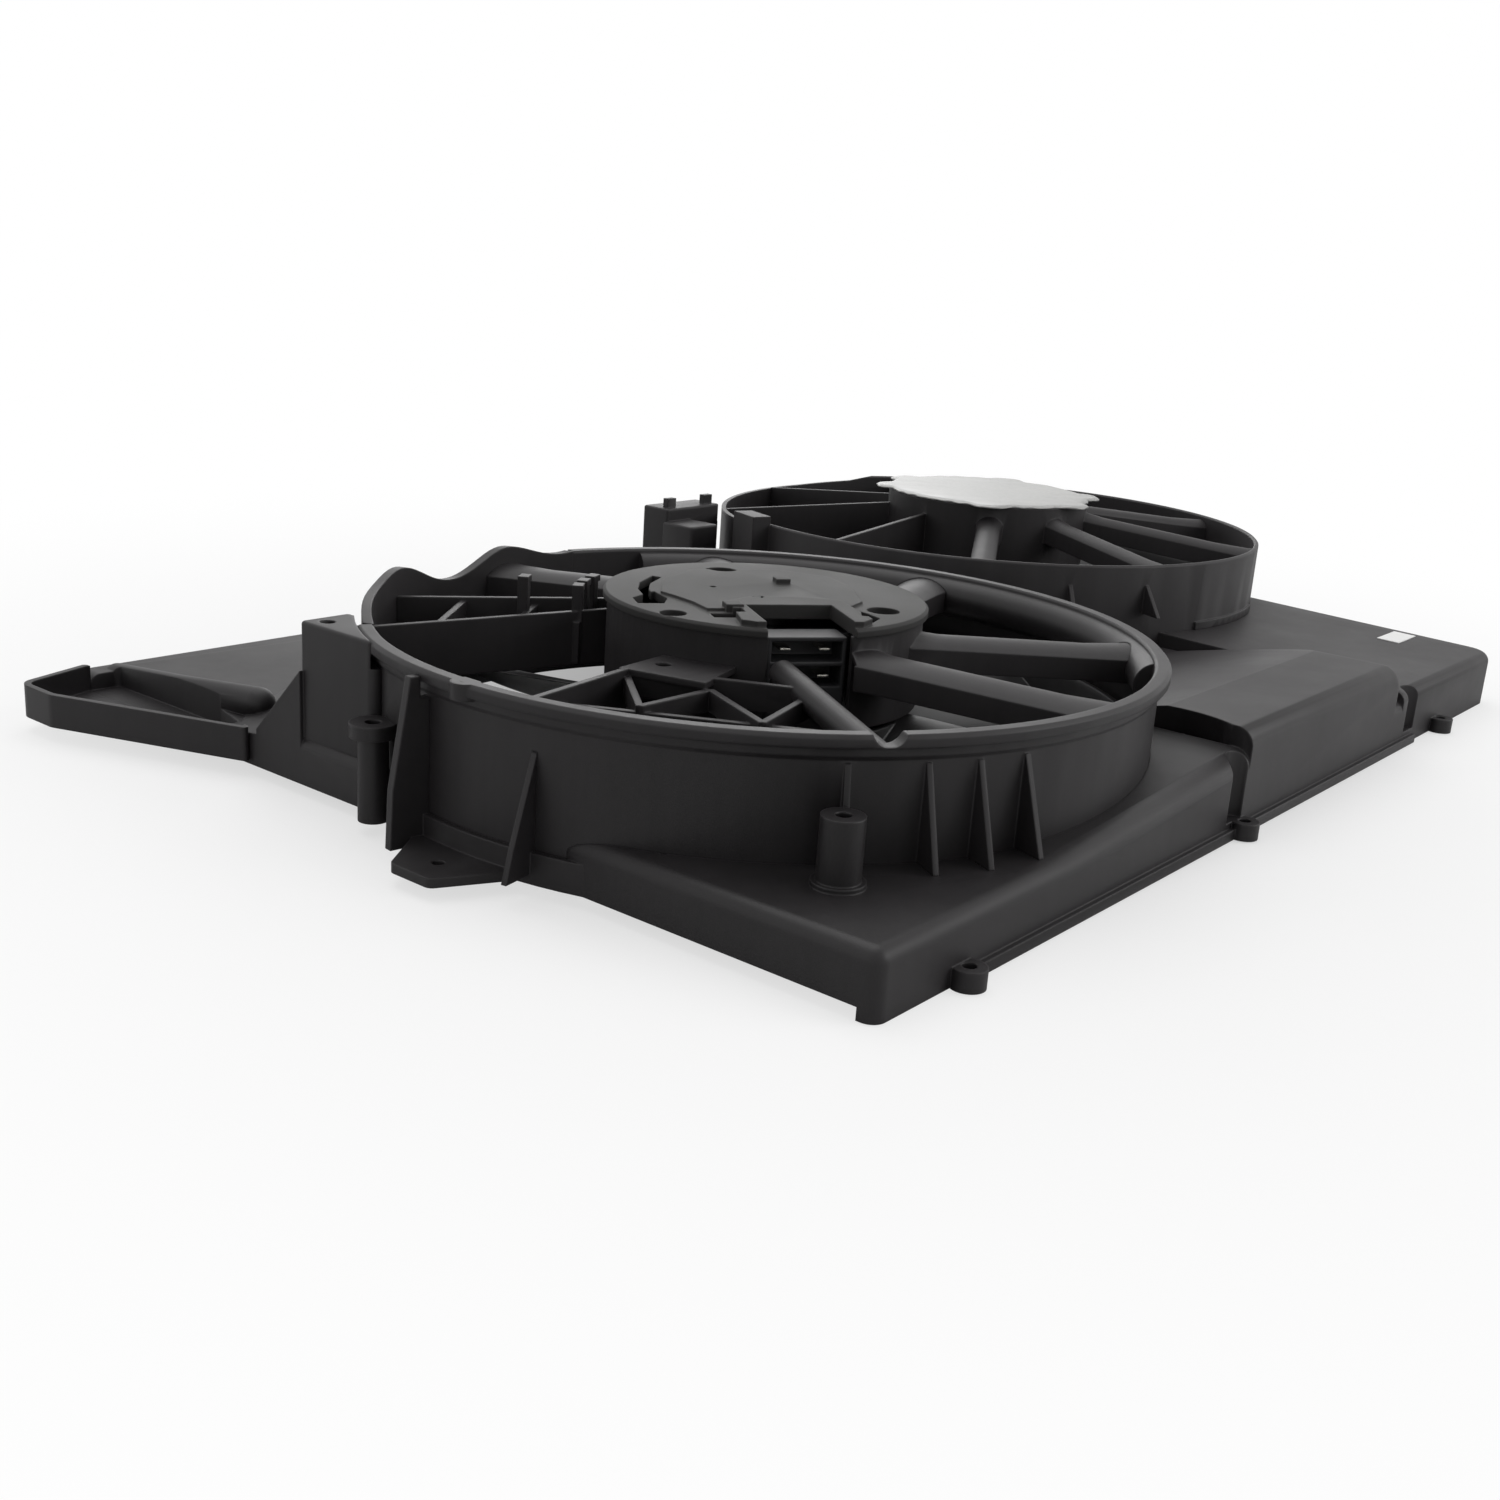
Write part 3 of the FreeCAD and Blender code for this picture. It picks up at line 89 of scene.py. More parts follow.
# studio: pale floor that fades into a white surround, soft lamps
studio = {
    "floorHalf": 8.0, "floorDrop": 0.0005, "floorColour": (0.86, 0.86, 0.86, 1), "floorRough": 0.9,
    "fadeFrom": -0.35, "fadeTo": 0.85,  # metres from the middle between which the floor turns plain white
    "worldLevel": 0.36,
    "lamps": [  # name, place, aim, size, watts
        ("topSoft", (0.2, 0.7, 2.2), (0, 0, 0), 2.2, 26),
        ("leftSoft", (-2.2, 0.6, 1.2), (-0.2, 0, 0.05), 1.5, 2.5),
        ("rightSoft", (1.2, -2.2, 1.3), (0, -0.1, 0.05), 1.5, 26),
        ("rearStrip", (1.7, 1.6, 0.9), (0.1, 0.1, 0.05), 1.2, 9),
    ],
}


def linked(tree, kind, **values):
    # a new node with the values of its named inputs
    node = tree.nodes.new(kind)
    for name, value in values.items():
        node.inputs[name.replace("_", " ")].default_value = value
    return node


def makeStudio():
    half = studio["floorHalf"]
    mesh = bpy.data.meshes.new("floor")
    corners = [(-half, -half, 0), (half, -half, 0), (half, half, 0), (-half, half, 0)]
    mesh.from_pydata(corners, [], [(0, 1, 2, 3)])
    floor = bpy.data.objects.new("floor", mesh)
    bpy.context.scene.collection.objects.link(floor)
    floor.location.z = -studio["floorDrop"]
    paint = bpy.data.materials.new("floorPaint")
    paint.use_nodes = True
    tree = paint.node_tree
    link = tree.links.new
    shader = tree.nodes["Principled BSDF"]
    shader.inputs["Base Color"].default_value = studio["floorColour"]
    shader.inputs["Roughness"].default_value = studio["floorRough"]
    spot = tree.nodes.new("ShaderNodeTexCoord")
    distance = tree.nodes.new("ShaderNodeVectorMath")
    distance.operation = "LENGTH"
    fade = linked(tree, "ShaderNodeMapRange", From_Min=studio["fadeFrom"], From_Max=studio["fadeTo"])
    fade.interpolation_type = "SMOOTHSTEP"
    path = tree.nodes.new("ShaderNodeLightPath")
    share = tree.nodes.new("ShaderNodeMath")
    share.operation = "MULTIPLY"
    glow = linked(tree, "ShaderNodeEmission", Color=(1, 1, 1, 1), Strength=1.0)
    mix = tree.nodes.new("ShaderNodeMixShader")
    link(spot.outputs["Object"], distance.inputs[0])
    link(distance.outputs["Value"], fade.inputs["Value"])
    link(fade.outputs[0], share.inputs[0])
    link(path.outputs["Is Camera Ray"], share.inputs[1])
    link(share.outputs[0], mix.inputs[0])
    link(shader.outputs[0], mix.inputs[1])
    link(glow.outputs[0], mix.inputs[2])
    link(mix.outputs[0], tree.nodes["Material Output"].inputs["Surface"])
    mesh.materials.append(paint)
    world = bpy.data.worlds.new("studioWorld")
    world.use_nodes = True
    bpy.context.scene.world = world
    tree = world.node_tree
    link = tree.links.new
    back = tree.nodes["Background"]
    back.inputs["Color"].default_value = (1, 1, 1, 1)
    path = tree.nodes.new("ShaderNodeLightPath")
    seen = [path.outputs[name] for name in ("Is Camera Ray", "Is Glossy Ray", "Is Transmission Ray")]
    both = tree.nodes.new("ShaderNodeMath")
    both.operation = "MAXIMUM"
    link(seen[0], both.inputs[0])
    link(seen[1], both.inputs[1])
    anyRay = tree.nodes.new("ShaderNodeMath")
    anyRay.operation = "MAXIMUM"
    link(both.outputs[0], anyRay.inputs[0])
    link(seen[2], anyRay.inputs[1])
    level = linked(tree, "ShaderNodeMapRange", To_Min=studio["worldLevel"], To_Max=1.0)
    link(anyRay.outputs[0], level.inputs["Value"])
    link(level.outputs[0], back.inputs["Strength"])
    for name, place, aim, size, watts in studio["lamps"]:
        data = bpy.data.lights.new(name, "AREA")
        data.size = size
        data.energy = watts
        lamp = bpy.data.objects.new(name, data)
        lamp.location = place
        lamp.rotation_euler = (Vector(aim) - Vector(place)).to_track_quat("-Z", "Y").to_euler()
        bpy.context.scene.collection.objects.link(lamp)
    bpy.context.scene.view_settings.view_transform = "Standard"


makeStudio()
print("studio set")


# shared shader groups
mouldMarks = {
    "grainScale": 2200.0, "grainDetail": 2.0, "grainShare": 0.3,
    "cloudScale": 9.0, "cloudDetail": 5.0, "cloudRoughness": 0.62,
    "streakStretch": (1.0, 1.0, 0.12), "streakScale": 160.0, "streakDetail": 3.0,
    "tintFrom": 0.55, "tintTo": 1.05,    # mark heights between which the colour goes from base to lift
    "roughFrom": 0.3, "roughTo": 0.7,    # cloud values between which the roughness goes from low to high
    "edgeRadius": 0.0011, "edgeSamples": 6, "edgeGain": 3.0,
    "edgeHighlightGain": 2.6, "edgeHighlightLift": 0.02,   # colour of the painted edge highlight from the lift colour
}

def newGroup(name, inputs, outputs):
    group = bpy.data.node_groups.new(name, "ShaderNodeTree")
    for label, kind, value in inputs:
        socket = group.interface.new_socket(name=label, in_out="INPUT", socket_type=kind)
        if value is not None:
            socket.default_value = value
    for label, kind in outputs:
        group.interface.new_socket(name=label, in_out="OUTPUT", socket_type=kind)
    return group, group.nodes.new("NodeGroupInput"), group.nodes.new("NodeGroupOutput")


def makeGrainGroup():
    # fine spark-eroded grain, broad cloudy sheen and faint drag streaks along the mould's draw
    group, source, sink = newGroup("mouldGrain", [
        ("Vector", "NodeSocketVector", None),
        ("Grain Scale", "NodeSocketFloat", mouldMarks["grainScale"]),
        ("Cloud Scale", "NodeSocketFloat", mouldMarks["cloudScale"]),
        ("Base", "NodeSocketColor", (0.05, 0.05, 0.05, 1)),
        ("Lift", "NodeSocketColor", (0.08, 0.08, 0.08, 1)),
        ("Rough Low", "NodeSocketFloat", 0.38), ("Rough High", "NodeSocketFloat", 0.55),
        ("Streaks", "NodeSocketFloat", 0.3)],
        [("Color", "NodeSocketColor"), ("Roughness", "NodeSocketFloat"), ("Height", "NodeSocketFloat")])
    link = group.links.new
    grain = linked(group, "ShaderNodeTexNoise", Detail=mouldMarks["grainDetail"])
    link(source.outputs["Vector"], grain.inputs["Vector"])
    link(source.outputs["Grain Scale"], grain.inputs["Scale"])
    cloud = linked(group, "ShaderNodeTexNoise", Detail=mouldMarks["cloudDetail"],
                   Roughness=mouldMarks["cloudRoughness"])
    link(source.outputs["Vector"], cloud.inputs["Vector"])
    link(source.outputs["Cloud Scale"], cloud.inputs["Scale"])
    stretch = group.nodes.new("ShaderNodeMapping")
    stretch.inputs["Scale"].default_value = mouldMarks["streakStretch"]
    link(source.outputs["Vector"], stretch.inputs["Vector"])
    streak = linked(group, "ShaderNodeTexNoise", Scale=mouldMarks["streakScale"],
                    Detail=mouldMarks["streakDetail"])
    link(stretch.outputs[0], streak.inputs["Vector"])
    flow = group.nodes.new("ShaderNodeMath")
    flow.operation = "MULTIPLY_ADD"
    flow.inputs[1].default_value = mouldMarks["grainShare"]
    link(grain.outputs["Fac"], flow.inputs[0])
    link(cloud.outputs["Fac"], flow.inputs[2])
    drawn = group.nodes.new("ShaderNodeMath")
    drawn.operation = "MULTIPLY_ADD"
    link(streak.outputs["Fac"], drawn.inputs[0])
    link(source.outputs["Streaks"], drawn.inputs[1])
    link(flow.outputs[0], drawn.inputs[2])
    spread = linked(group, "ShaderNodeMapRange", From_Min=mouldMarks["tintFrom"],
                    From_Max=mouldMarks["tintTo"])
    link(drawn.outputs[0], spread.inputs["Value"])
    tint = group.nodes.new("ShaderNodeMix")
    tint.data_type = "RGBA"
    link(spread.outputs[0], tint.inputs[0])
    link(source.outputs["Base"], tint.inputs[6])
    link(source.outputs["Lift"], tint.inputs[7])
    rough = linked(group, "ShaderNodeMapRange", From_Min=mouldMarks["roughFrom"],
                   From_Max=mouldMarks["roughTo"])
    link(cloud.outputs["Fac"], rough.inputs["Value"])
    link(source.outputs["Rough Low"], rough.inputs["To Min"])
    link(source.outputs["Rough High"], rough.inputs["To Max"])
    link(tint.outputs[2], sink.inputs["Color"])
    link(rough.outputs[0], sink.inputs["Roughness"])
    link(grain.outputs["Fac"], sink.inputs["Height"])
    return group


def makeEdgeGroup():
    # softened edges: a normal rounded over the edge, and a mask that is 1 on the edge itself
    group, source, sink = newGroup("edgeSheen", [("Mask Gain", "NodeSocketFloat", mouldMarks["edgeGain"])],
                                   [("Normal", "NodeSocketVector"), ("Edge", "NodeSocketFloat")])
    link = group.links.new
    rounded = group.nodes.new("ShaderNodeBevel")
    rounded.samples = mouldMarks["edgeSamples"]
    rounded.inputs["Radius"].default_value = mouldMarks["edgeRadius"]
    plain = group.nodes.new("ShaderNodeNewGeometry")
    facing = group.nodes.new("ShaderNodeVectorMath")
    facing.operation = "DOT_PRODUCT"
    link(rounded.outputs[0], facing.inputs[0])
    link(plain.outputs["Normal"], facing.inputs[1])
    turned = group.nodes.new("ShaderNodeMath")
    turned.operation = "SUBTRACT"
    turned.inputs[0].default_value = 1.0
    link(facing.outputs["Value"], turned.inputs[1])
    gain = group.nodes.new("ShaderNodeMath")
    gain.operation = "MULTIPLY"
    gain.use_clamp = True
    link(turned.outputs[0], gain.inputs[0])
    link(source.outputs["Mask Gain"], gain.inputs[1])
    link(rounded.outputs[0], sink.inputs["Normal"])
    link(gain.outputs[0], sink.inputs["Edge"])
    return group


grainGroup = makeGrainGroup()
edgeGroup = makeEdgeGroup()


def moulded(name, base, lift, rough=(0.42, 0.58), bump=0.12, depth=0.0004, metallic=0.0, specular=0.5,
            edge=0.35, streaks=0.3, grainScale=mouldMarks["grainScale"]):
    # a finish that runs from the base colour to the lift colour, with grain, streaks and a painted highlight on
    # every edge
    paint = bpy.data.materials.new(name)
    paint.use_nodes = True
    tree = paint.node_tree
    link = tree.links.new
    shader = tree.nodes["Principled BSDF"]
    place = tree.nodes.new("ShaderNodeTexCoord")
    grain = tree.nodes.new("ShaderNodeGroup")
    grain.node_tree = grainGroup
    for label, value in (("Base", (*base, 1)), ("Lift", (*lift, 1)), ("Rough Low", rough[0]),
                         ("Rough High", rough[1]), ("Grain Scale", grainScale), ("Streaks", streaks)):
        grain.inputs[label].default_value = value
    # the edge mask times edge mixes in a lighter colour: a painted highlight along every edge, where light would
    # catch the rounding
    edges = tree.nodes.new("ShaderNodeGroup")
    edges.node_tree = edgeGroup
    share = tree.nodes.new("ShaderNodeMath")
    share.operation = "MULTIPLY"
    share.inputs[1].default_value = edge
    link(edges.outputs["Edge"], share.inputs[0])
    paintedEdgeHighlight = tree.nodes.new("ShaderNodeMix")
    paintedEdgeHighlight.data_type = "RGBA"
    edgeHighlightColour = [min(1.0, c * mouldMarks["edgeHighlightGain"] + mouldMarks["edgeHighlightLift"]) for c in lift]
    paintedEdgeHighlight.inputs[7].default_value = (*edgeHighlightColour, 1)
    link(share.outputs[0], paintedEdgeHighlight.inputs[0])
    link(grain.outputs["Color"], paintedEdgeHighlight.inputs[6])
    bumpNode = linked(tree, "ShaderNodeBump", Strength=bump, Distance=depth)
    link(place.outputs["Object"], grain.inputs["Vector"])
    link(paintedEdgeHighlight.outputs[2], shader.inputs["Base Color"])
    link(grain.outputs["Roughness"], shader.inputs["Roughness"])
    link(grain.outputs["Height"], bumpNode.inputs["Height"])
    link(edges.outputs["Normal"], bumpNode.inputs["Normal"])
    link(bumpNode.outputs["Normal"], shader.inputs["Normal"])
    shader.inputs["Metallic"].default_value = metallic
    shader.inputs["Specular IOR Level"].default_value = specular
    return paint


finishes = {  # slot: base colour, lift colour, then what differs from a plain moulding
    "shroud_plastic": moulded("blackMoulding", (0.0105, 0.0095, 0.0102), (0.021, 0.019, 0.0203),
                              specular=0.3),
    "fan_plastic": moulded("fanMoulding", (0.012, 0.0115, 0.0122), (0.026, 0.025, 0.026),
                           rough=(0.36, 0.5), specular=0.34),
    "cover_plastic": moulded("coverMoulding", (0.023, 0.0222, 0.0218), (0.038, 0.0372, 0.0365),
                             rough=(0.55, 0.7), specular=0.25, streaks=0.0),
    "card_plastic": moulded("plugMoulding", (0.011, 0.011, 0.012), (0.022, 0.022, 0.024), specular=0.35),
    "shield_aluminium": moulded("shieldFoil", (0.3, 0.3, 0.295), (0.44, 0.44, 0.43), rough=(0.42, 0.6),
                                metallic=0.55, grainScale=420.0, bump=0.3, depth=0.0006, edge=0.0,
                                streaks=0.0),
    "can_steel": moulded("coatedCan", (0.014, 0.014, 0.015), (0.026, 0.026, 0.027), rough=(0.3, 0.42)),
    "zinc_steel": moulded("zincPlate", (0.52, 0.52, 0.50), (0.66, 0.66, 0.64), metallic=1.0,
                          rough=(0.28, 0.4), edge=0.1),
    "ground_steel": moulded("groundSteel", (0.55, 0.55, 0.55), (0.66, 0.66, 0.66), metallic=1.0,
                            rough=(0.2, 0.3), edge=0.1),
    "bearing_steel": moulded("bearingSteel", (0.6, 0.6, 0.6), (0.72, 0.72, 0.72), metallic=1.0,
                             rough=(0.15, 0.25), edge=0.1),
    "ferrite": moulded("ferriteGrey", (0.03, 0.03, 0.032), (0.05, 0.05, 0.052), rough=(0.6, 0.8)),
    "core_steel": moulded("laminatedCore", (0.3, 0.3, 0.31), (0.42, 0.42, 0.43), metallic=1.0,
                          rough=(0.35, 0.5), edge=0.1),
    "copper_wire": moulded("enamelledCopper", (0.45, 0.16, 0.06), (0.6, 0.25, 0.1), metallic=1.0,
                           rough=(0.25, 0.35), grainScale=900.0, edge=0.1),
    "carbon": moulded("brushCarbon", (0.02, 0.02, 0.02), (0.035, 0.035, 0.035), rough=(0.6, 0.75)),
    "tinned_brass": moulded("tinnedBlade", (0.62, 0.60, 0.54), (0.74, 0.72, 0.66), metallic=1.0,
                            rough=(0.2, 0.32), edge=0.1),
}
labelPaper = moulded("labelPaper", (0.78, 0.78, 0.77), (0.88, 0.88, 0.87), rough=(0.5, 0.62), edge=0.0,
                     streaks=0.0)


def finishNodes():
    for name, node in nodes.items():
        node.data.materials.clear()
        node.data.materials.append(finishes[slotOf[name]])


finishNodes()
print("finishes made:", len(finishes))


# rounded copies of the moulded CAD solids

moulding = {
    "edgeSteps": 2, "edgeAngle": 32,     # bevel steps, and degrees between faces that count as an edge
    "weld": 1e-5, "flatAngle": 0.8,      # metres between points that are one, degrees that count as flat
    "pieces": [  # piece, CAD node, body, edge width
        ("deckMoulding", "shroud_deck", "shroud", 0.0009),
        ("trussMoulding", "front_truss", "shroud", 0.0006),
        ("earMoulding", "side_ear", "shroud", 0.0008),
        ("nearRingMoulding", "near_ring", "shroud", 0.0007),
        ("farRingMoulding", "far_ring", "shroud", 0.0007),
        ("nearStatorMoulding", "near_stator", "shroud", 0.0006),
        ("farStatorMoulding", "far_stator", "shroud", 0.0006),
        ("plugShell", "connector_housing", "shroud", 0.0004),
        ("coverShell", "near_motor_cover", "shroud", 0.0006),
    ],
}


def makeRounded(name, node, body, width):
    # the CAD mesh with its triangles joined, flat areas dissolved, and every sharp edge rounded
    shape = bmesh.new()
    shape.from_mesh(nodes[node].data)
    bmesh.ops.remove_doubles(shape, verts=shape.verts, dist=moulding["weld"])
    bmesh.ops.dissolve_limit(shape, angle_limit=math.radians(moulding["flatAngle"]), verts=shape.verts,
                             edges=shape.edges)
    mesh = bpy.data.meshes.new(name)
    shape.to_mesh(mesh)
    shape.free()
    mesh.shade_smooth()
    mesh.set_sharp_from_angle(angle=math.radians(moulding["edgeAngle"]))
    piece = bpy.data.objects.new(name, mesh)
    bpy.context.scene.collection.objects.link(piece)
    rounded = piece.modifiers.new("roundEdges", "BEVEL")
    rounded.width = width
    rounded.segments = moulding["edgeSteps"]
    rounded.limit_method = "ANGLE"
    rounded.angle_limit = math.radians(moulding["edgeAngle"])
    rounded.harden_normals = True
    rounded.use_clamp_overlap = True
    mesh.materials.append(finishes[slotOf[node]])
    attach(piece, body)
    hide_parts(node)


for row in moulding["pieces"]:
    makeRounded(*row)
print("mouldings rounded:", len(moulding["pieces"]))


# numpy surfaces: a piece is one or more grids of points, each worked out from two parameters
surface = {"weld": 2e-6, "tiny": 1e-7}  # metres between points that are one, and of an edge that vanishes

def gridFaces(rows, columns, closeRows, closeColumns, start):
    # quads between neighbouring points; a closed direction joins its last line to its first
    row, column = np.meshgrid(np.arange(rows if closeRows else rows - 1),
                              np.arange(columns if closeColumns else columns - 1), indexing="ij")
    below, beside = (row + 1) % rows, (column + 1) % columns
    corners = (row * columns + column, below * columns + column,
               below * columns + beside, row * columns + beside)
    return start + np.stack(corners, -1).reshape(-1, 4)


def makePiece(name, grids, body, slot, replaced=()):
    # grids hold (points, closeRows, closeColumns); poles and seams are merged and faces turned outwards
    points, faces, count = [], [], 0
    for grid, closeRows, closeColumns in grids:
        points.append(grid.reshape(-1, 3))
        faces.append(gridFaces(*grid.shape[:2], closeRows, closeColumns, count))
        count += grid.shape[0] * grid.shape[1]
    mesh = bpy.data.meshes.new(name)
    mesh.from_pydata(np.concatenate(points).tolist(), [], np.concatenate(faces).tolist())
    shape = bmesh.new()
    shape.from_mesh(mesh)
    bmesh.ops.remove_doubles(shape, verts=shape.verts, dist=surface["weld"])
    bmesh.ops.dissolve_degenerate(shape, edges=shape.edges, dist=surface["tiny"])
    bmesh.ops.recalc_face_normals(shape, faces=shape.faces)
    shape.to_mesh(mesh)
    shape.free()
    mesh.shade_smooth()
    mesh.set_sharp_from_angle(angle=math.radians(moulding["edgeAngle"]))
    mesh.materials.append(finishes[slot])
    piece = bpy.data.objects.new(name, mesh)
    bpy.context.scene.collection.objects.link(piece)
    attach(piece, body)
    if replaced:
        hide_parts(*replaced)
    return piece


def capped(grid):
    # a tube's two ends closed: one more line of points at each end, all at that end's middle
    first, last = (np.repeat(line.mean(axis=1, keepdims=True), grid.shape[1], axis=1)
                   for line in (grid[:1], grid[-1:]))
    return np.concatenate([first, grid, last])


def turned(profile, steps, axis):
    # revolve: the profile's (radius, height) pairs carried once round the axis
    radius, height = np.array(profile).T[:, :, None]
    angle = np.linspace(0, 2 * np.pi, steps, endpoint=False)[None, :]
    level = height + 0 * angle
    return np.stack([axis[0] + radius * np.cos(angle), axis[1] + radius * np.sin(angle), level], -1)


# fans: hub cup, band and nine swept blades

fan = {  # metres and degrees; three values stand for root, middle and tip
    "blades": 9, "spanSteps": 22, "roundSteps": 40, "turnSteps": 180,
    "hubRadius": 0.070, "hubSkin": 0.0026, "hubLow": 0.010, "hubHigh": 0.042,
    "hubRound": 0.003, "hubChamfer": 0.0009, "lipRound": 0.0005, "floorRound": 0.001,
    "boss": 0.009, "bossHigh": 0.0205, "bore": 0.004,
    "dishFrom": 0.022, "dishTo": 0.060, "dishSlope": 0.002, "dishDeep": 0.0008,
    "bandIn": 0.1734, "bandOut": 0.176, "bandLow": 0.015, "bandHigh": 0.045, "bandBite": 0.001,
    "flange": 0.0016, "flangeShare": 0.7, "flangeLow": 0.0012, "flangeHigh": 0.003, "flangeIn": 0.001,
    "spanAt": (0.056, 0.100, 0.182), "chord": (0.046, 0.054, 0.066), "pitch": (34, 29, 20),
    "turn": (0, -4.9, -14), "middle": 0.030, "bow": 0.09,
    "thick": 0.0034, "noseFull": 1.05, "tailThin": 0.35, "rootGain": 1.3, "rootReach": 0.004,
}


def bladeGrid(number, axis):
    # span s gives chord, pitch and turn; round the section, x runs along the chord and y is the bow
    # bow * (1 - (2x)^2) plus or minus a wing-like thickness, thicker where the blade meets the hub
    inner, outer = fan["hubRadius"] - fan["hubSkin"] * 0.5, fan["bandIn"] + fan["bandBite"]
    span = np.linspace(inner, outer, fan["spanSteps"])[:, None]
    chord, pitch, turn = (np.interp(span, fan["spanAt"], fan[key]) for key in ("chord", "pitch", "turn"))
    lap = np.linspace(0, 2 * np.pi, fan["roundSteps"], endpoint=False)[None, :]
    x = np.cos(lap) / 2
    root = 1 + fan["rootGain"] * np.exp(-(span - fan["hubRadius"]) / fan["rootReach"])
    wing = np.sin(lap) * (fan["noseFull"] - fan["tailThin"] * x) * fan["thick"] / 2 * root
    y = chord * fan["bow"] * (1 - (2 * x) ** 2) + wing
    lean = np.radians(pitch)
    across = x * chord * np.cos(lean) - y * np.sin(lean)
    up = x * chord * np.sin(lean) + y * np.cos(lean)
    angle = np.radians(turn + number * 360 / fan["blades"]) + across / span
    east, north = axis[0] + span * np.cos(angle), axis[1] + span * np.sin(angle)
    return np.stack([east, north, fan["middle"] + up], -1)


def makeFan(name, node, body, axis):
    # cup and band are profiles turned round the axis, and the blades reach from one into the other
    hub, skin, low, high = (fan[key] for key in ("hubRadius", "hubSkin", "hubLow", "hubHigh"))
    chamfer, floorTop, dish = fan["hubChamfer"], low + skin, low + fan["dishDeep"]
    cup = [(fan["bore"], low), (fan["dishFrom"], low), (fan["dishFrom"] + fan["dishSlope"], dish),
           (fan["dishTo"] - fan["dishSlope"], dish), (fan["dishTo"], low),
           (hub - fan["hubRound"], low), (hub - chamfer, low + chamfer), (hub, low + fan["hubRound"]),
           (hub, high - fan["lipRound"]), (hub - fan["lipRound"], high), (hub - skin, high),
           (hub - skin, floorTop + fan["floorRound"]), (hub - skin - fan["floorRound"], floorTop),
           (fan["boss"], floorTop), (fan["boss"], fan["bossHigh"]), (fan["bore"], fan["bossHigh"])]
    inside, outside, top = fan["bandIn"], fan["bandOut"], fan["bandHigh"]
    band = [(inside, fan["bandLow"]), (outside, fan["bandLow"]), (outside, top - fan["flangeHigh"]),
            (outside + fan["flange"] * fan["flangeShare"], top - fan["flangeLow"]),
            (outside + fan["flange"], top), (outside - fan["flangeIn"], top),
            (inside, top - fan["flangeHigh"])]
    grids = [(turned(profile, fan["turnSteps"], axis), True, True) for profile in (cup, band)]
    grids += [(capped(bladeGrid(number, axis)), False, True) for number in range(fan["blades"])]
    makePiece(name, grids, body, "fan_plastic", (node,))


makeFan("nearFanMoulding", "near_fan", "near_rotor", nearAxis)
makeFan("farFanMoulding", "far_fan", "far_rotor", farAxis)
print("fans made")


# embossed foil plate over the far motor, with a crinkled edge and ears

foil = {
    "radius": 0.0682, "top": 0.0961, "under": 0.0942, "highest": 0.09639,
    "ears": (20, 92, 128, 212, 268, 310), "earSpread": 9,  # degrees round the axis
    "earReach": 0.0085, "earSharp": 4,
    "crinkle": 0.0004, "crinkleWaves": (23, 7, 41), "crinkleTurn": 1.3, "quickShare": 0.5,
    "dent": 0.00013, "dentWaves": (260, 210, 150, 430, 180), "dentShares": (0.6, 0.4), "dentTurn": 1,
    "rim": 0.0035, "rimDrop": 0.0008, "rimRipple": 0.00033, "crowd": 0.7,  # crowd: more rings near the edge
    "ringSteps": 34, "turnSteps": 360,
}


def earShare(angle, ear):
    # 1 at the ear's middle and 0 away from it: exp(-(turn away / spread) ^ sharpness)
    away = np.degrees(np.angle(np.exp(1j * (angle - np.radians(ear)))))
    return np.exp(-(away / foil["earSpread"]) ** foil["earSharp"])


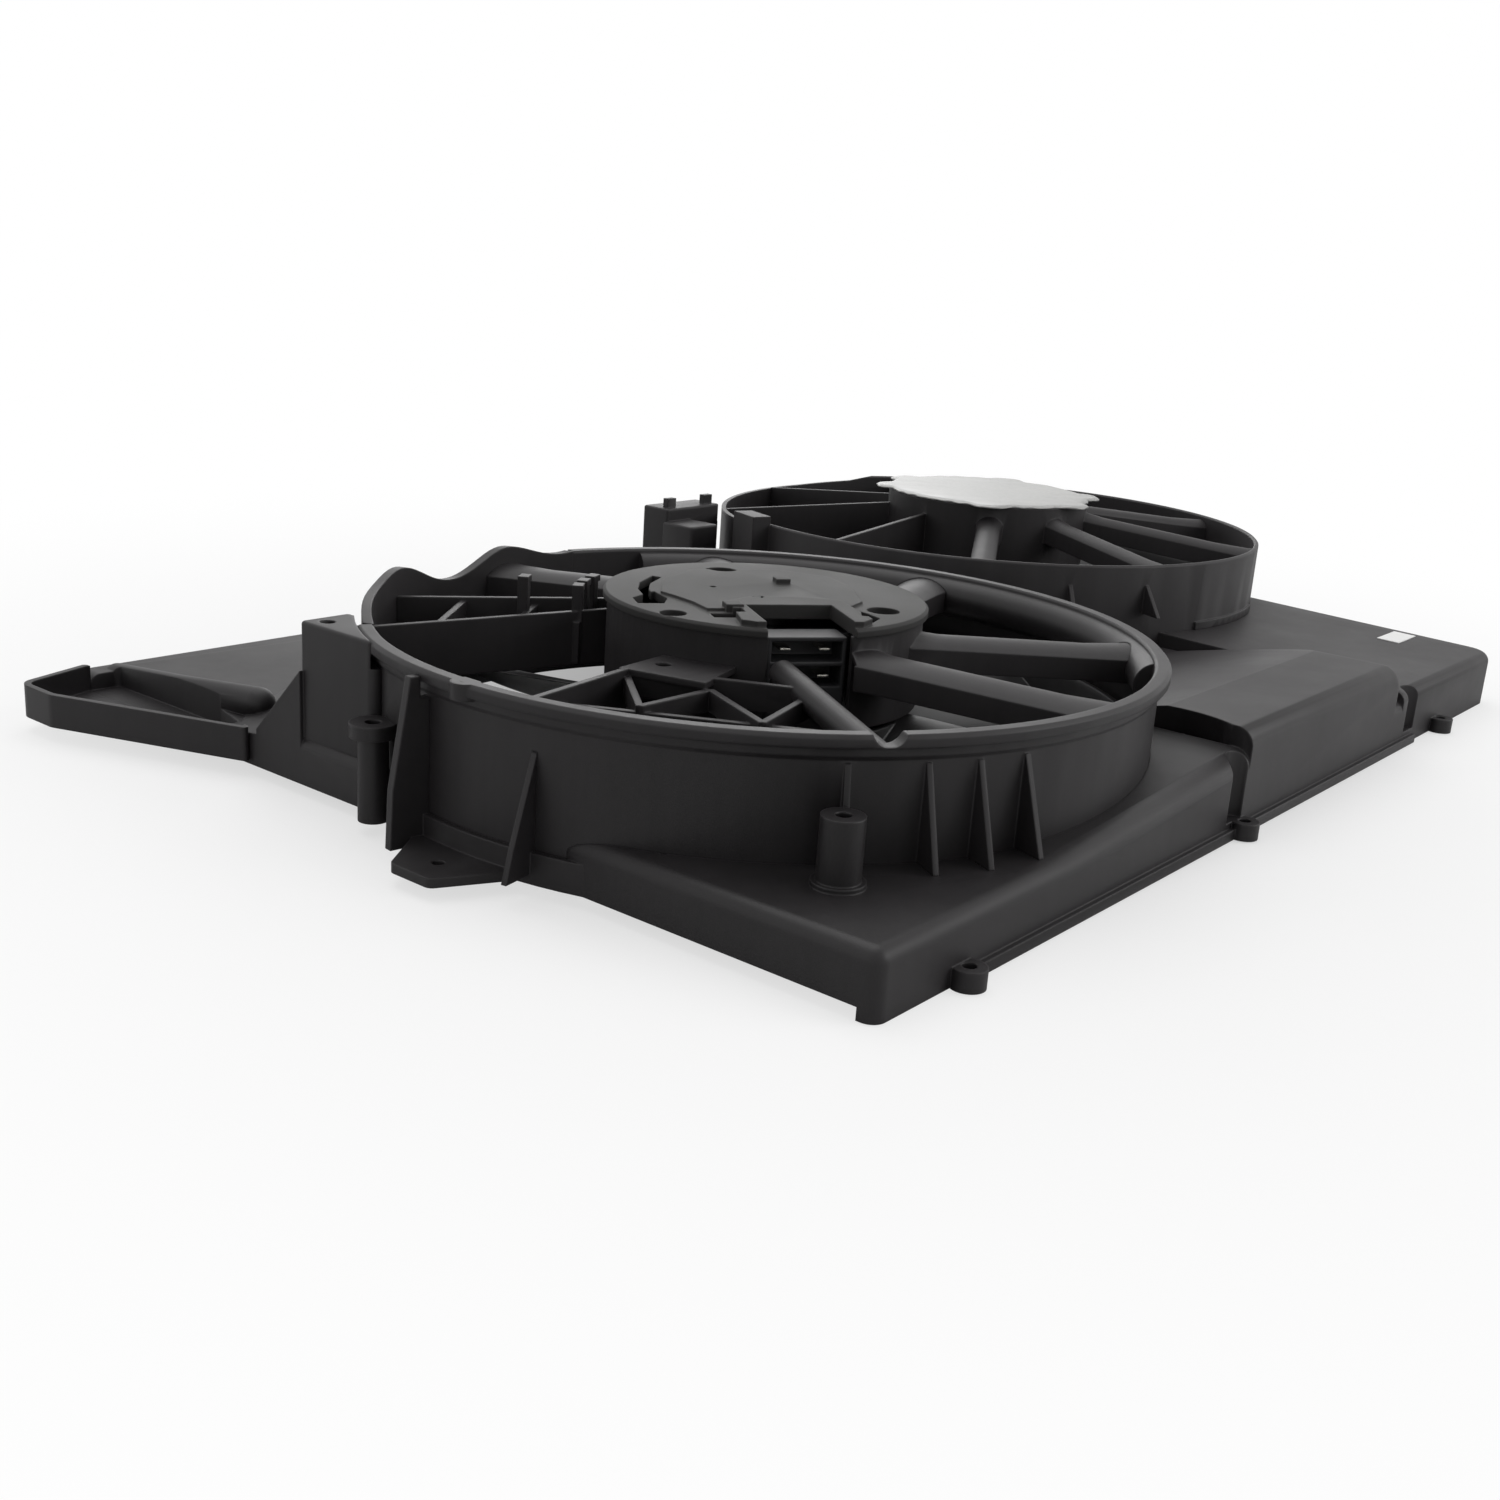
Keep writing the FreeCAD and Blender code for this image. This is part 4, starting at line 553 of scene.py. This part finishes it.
def foilGrid():
    # radius R(a) = plain radius + a bell at each ear + small crinkles; height = top, less a rolled rim,
    # with broad dents made of three crossing waves that fade towards the middle
    angle = np.linspace(0, 2 * np.pi, foil["turnSteps"], endpoint=False)[None, :]
    ears = sum(earShare(angle, ear) for ear in foil["ears"])
    slow, slower, quick = foil["crinkleWaves"]
    crinkle = np.sin(slow * angle + foil["crinkleTurn"]) * np.sin(slower * angle)
    crinkle = crinkle + foil["quickShare"] * np.sin(quick * angle)
    edge = foil["radius"] + foil["earReach"] * ears + foil["crinkle"] * crinkle
    share = np.linspace(0, 1, foil["ringSteps"])[:, None] ** foil["crowd"]
    radius = share * edge
    x, y = radius * np.cos(angle), radius * np.sin(angle)
    a, b, c, d, e = foil["dentWaves"]
    second, third = foil["dentShares"]
    dents = np.sin(a * x + foil["dentTurn"]) * np.sin(b * y)
    dents = dents + second * np.sin(c * (x + y)) + third * np.sin(d * x - e * y)
    rim = np.clip((radius - edge + foil["rim"]) / foil["rim"], 0, 1) ** 2
    height = foil["top"] + foil["dent"] * dents * share
    height = height - rim * (foil["rimDrop"] + foil["rimRipple"] * (1 + crinkle))
    east, north = farAxis[0] + x, farAxis[1] + y
    above = np.stack([east, north, np.minimum(height, foil["highest"])], -1)
    below = np.stack([east, north, np.full_like(height, foil["under"])], -1)
    return np.concatenate([above, below[::-1]])


makePiece("foilPlate", [(foilGrid(), False, True)], "shroud", "shield_aluminium", ("far_motor_plate",))
print("foil plate made")


# blank pale label on the end deck

label = {"from": (0.455, -0.150), "to": (0.487, -0.136), "thick": 0.0004, "steps": 8, "rayFrom": 0.3}


def deckHeights(places):
    # the highest point of the deck straight below each place, found with a ray
    deck = nodes["shroud_deck"].data
    tree = BVHTree.FromPolygons([v.co for v in deck.vertices], [p.vertices for p in deck.polygons])
    return [tree.ray_cast(Vector((x, y, label["rayFrom"])), Vector((0, 0, -1)))[0].z for x, y in places]


def makeLabel():
    # a thin pad on the deck: height = a plane between the deck's heights at the four corners + thickness,
    # and its sides go down to the same depth under that plane
    xs = nearAxis[0] + np.linspace(label["from"][0], label["to"][0], label["steps"])
    ys = nearAxis[1] + np.linspace(label["from"][1], label["to"][1], label["steps"])
    corners = [(x, y) for y in (ys[0], ys[-1]) for x in (xs[0], xs[-1])]
    nearLeft, nearRight, farLeft, farRight = deckHeights(corners)
    u, v = np.meshgrid(np.linspace(0, 1, len(xs)), np.linspace(0, 1, len(ys)), indexing="ij")
    base = (nearLeft * (1 - u) + nearRight * u) * (1 - v) + (farLeft * (1 - u) + farRight * u) * v
    x, y = np.meshgrid(xs, ys, indexing="ij")
    pad = np.stack([x, y, base + label["thick"]], -1)
    ring = np.concatenate([pad[0], pad[1:, -1], pad[-1, -2::-1], pad[-2:0:-1, 0]])
    low = ring.copy()
    low[:, 2] -= label["thick"] * 2
    middle = np.repeat(low.mean(axis=0, keepdims=True), len(ring), axis=0)
    centre = np.repeat(pad.reshape(-1, 3).mean(axis=0, keepdims=True), len(ring), axis=0)
    closed = np.stack([centre, ring, low, middle])
    piece = makePiece("blankLabel", [(closed, False, True)], "shroud", "shroud_plastic")
    piece.data.materials[0] = labelPaper


makeLabel()
print("label made")
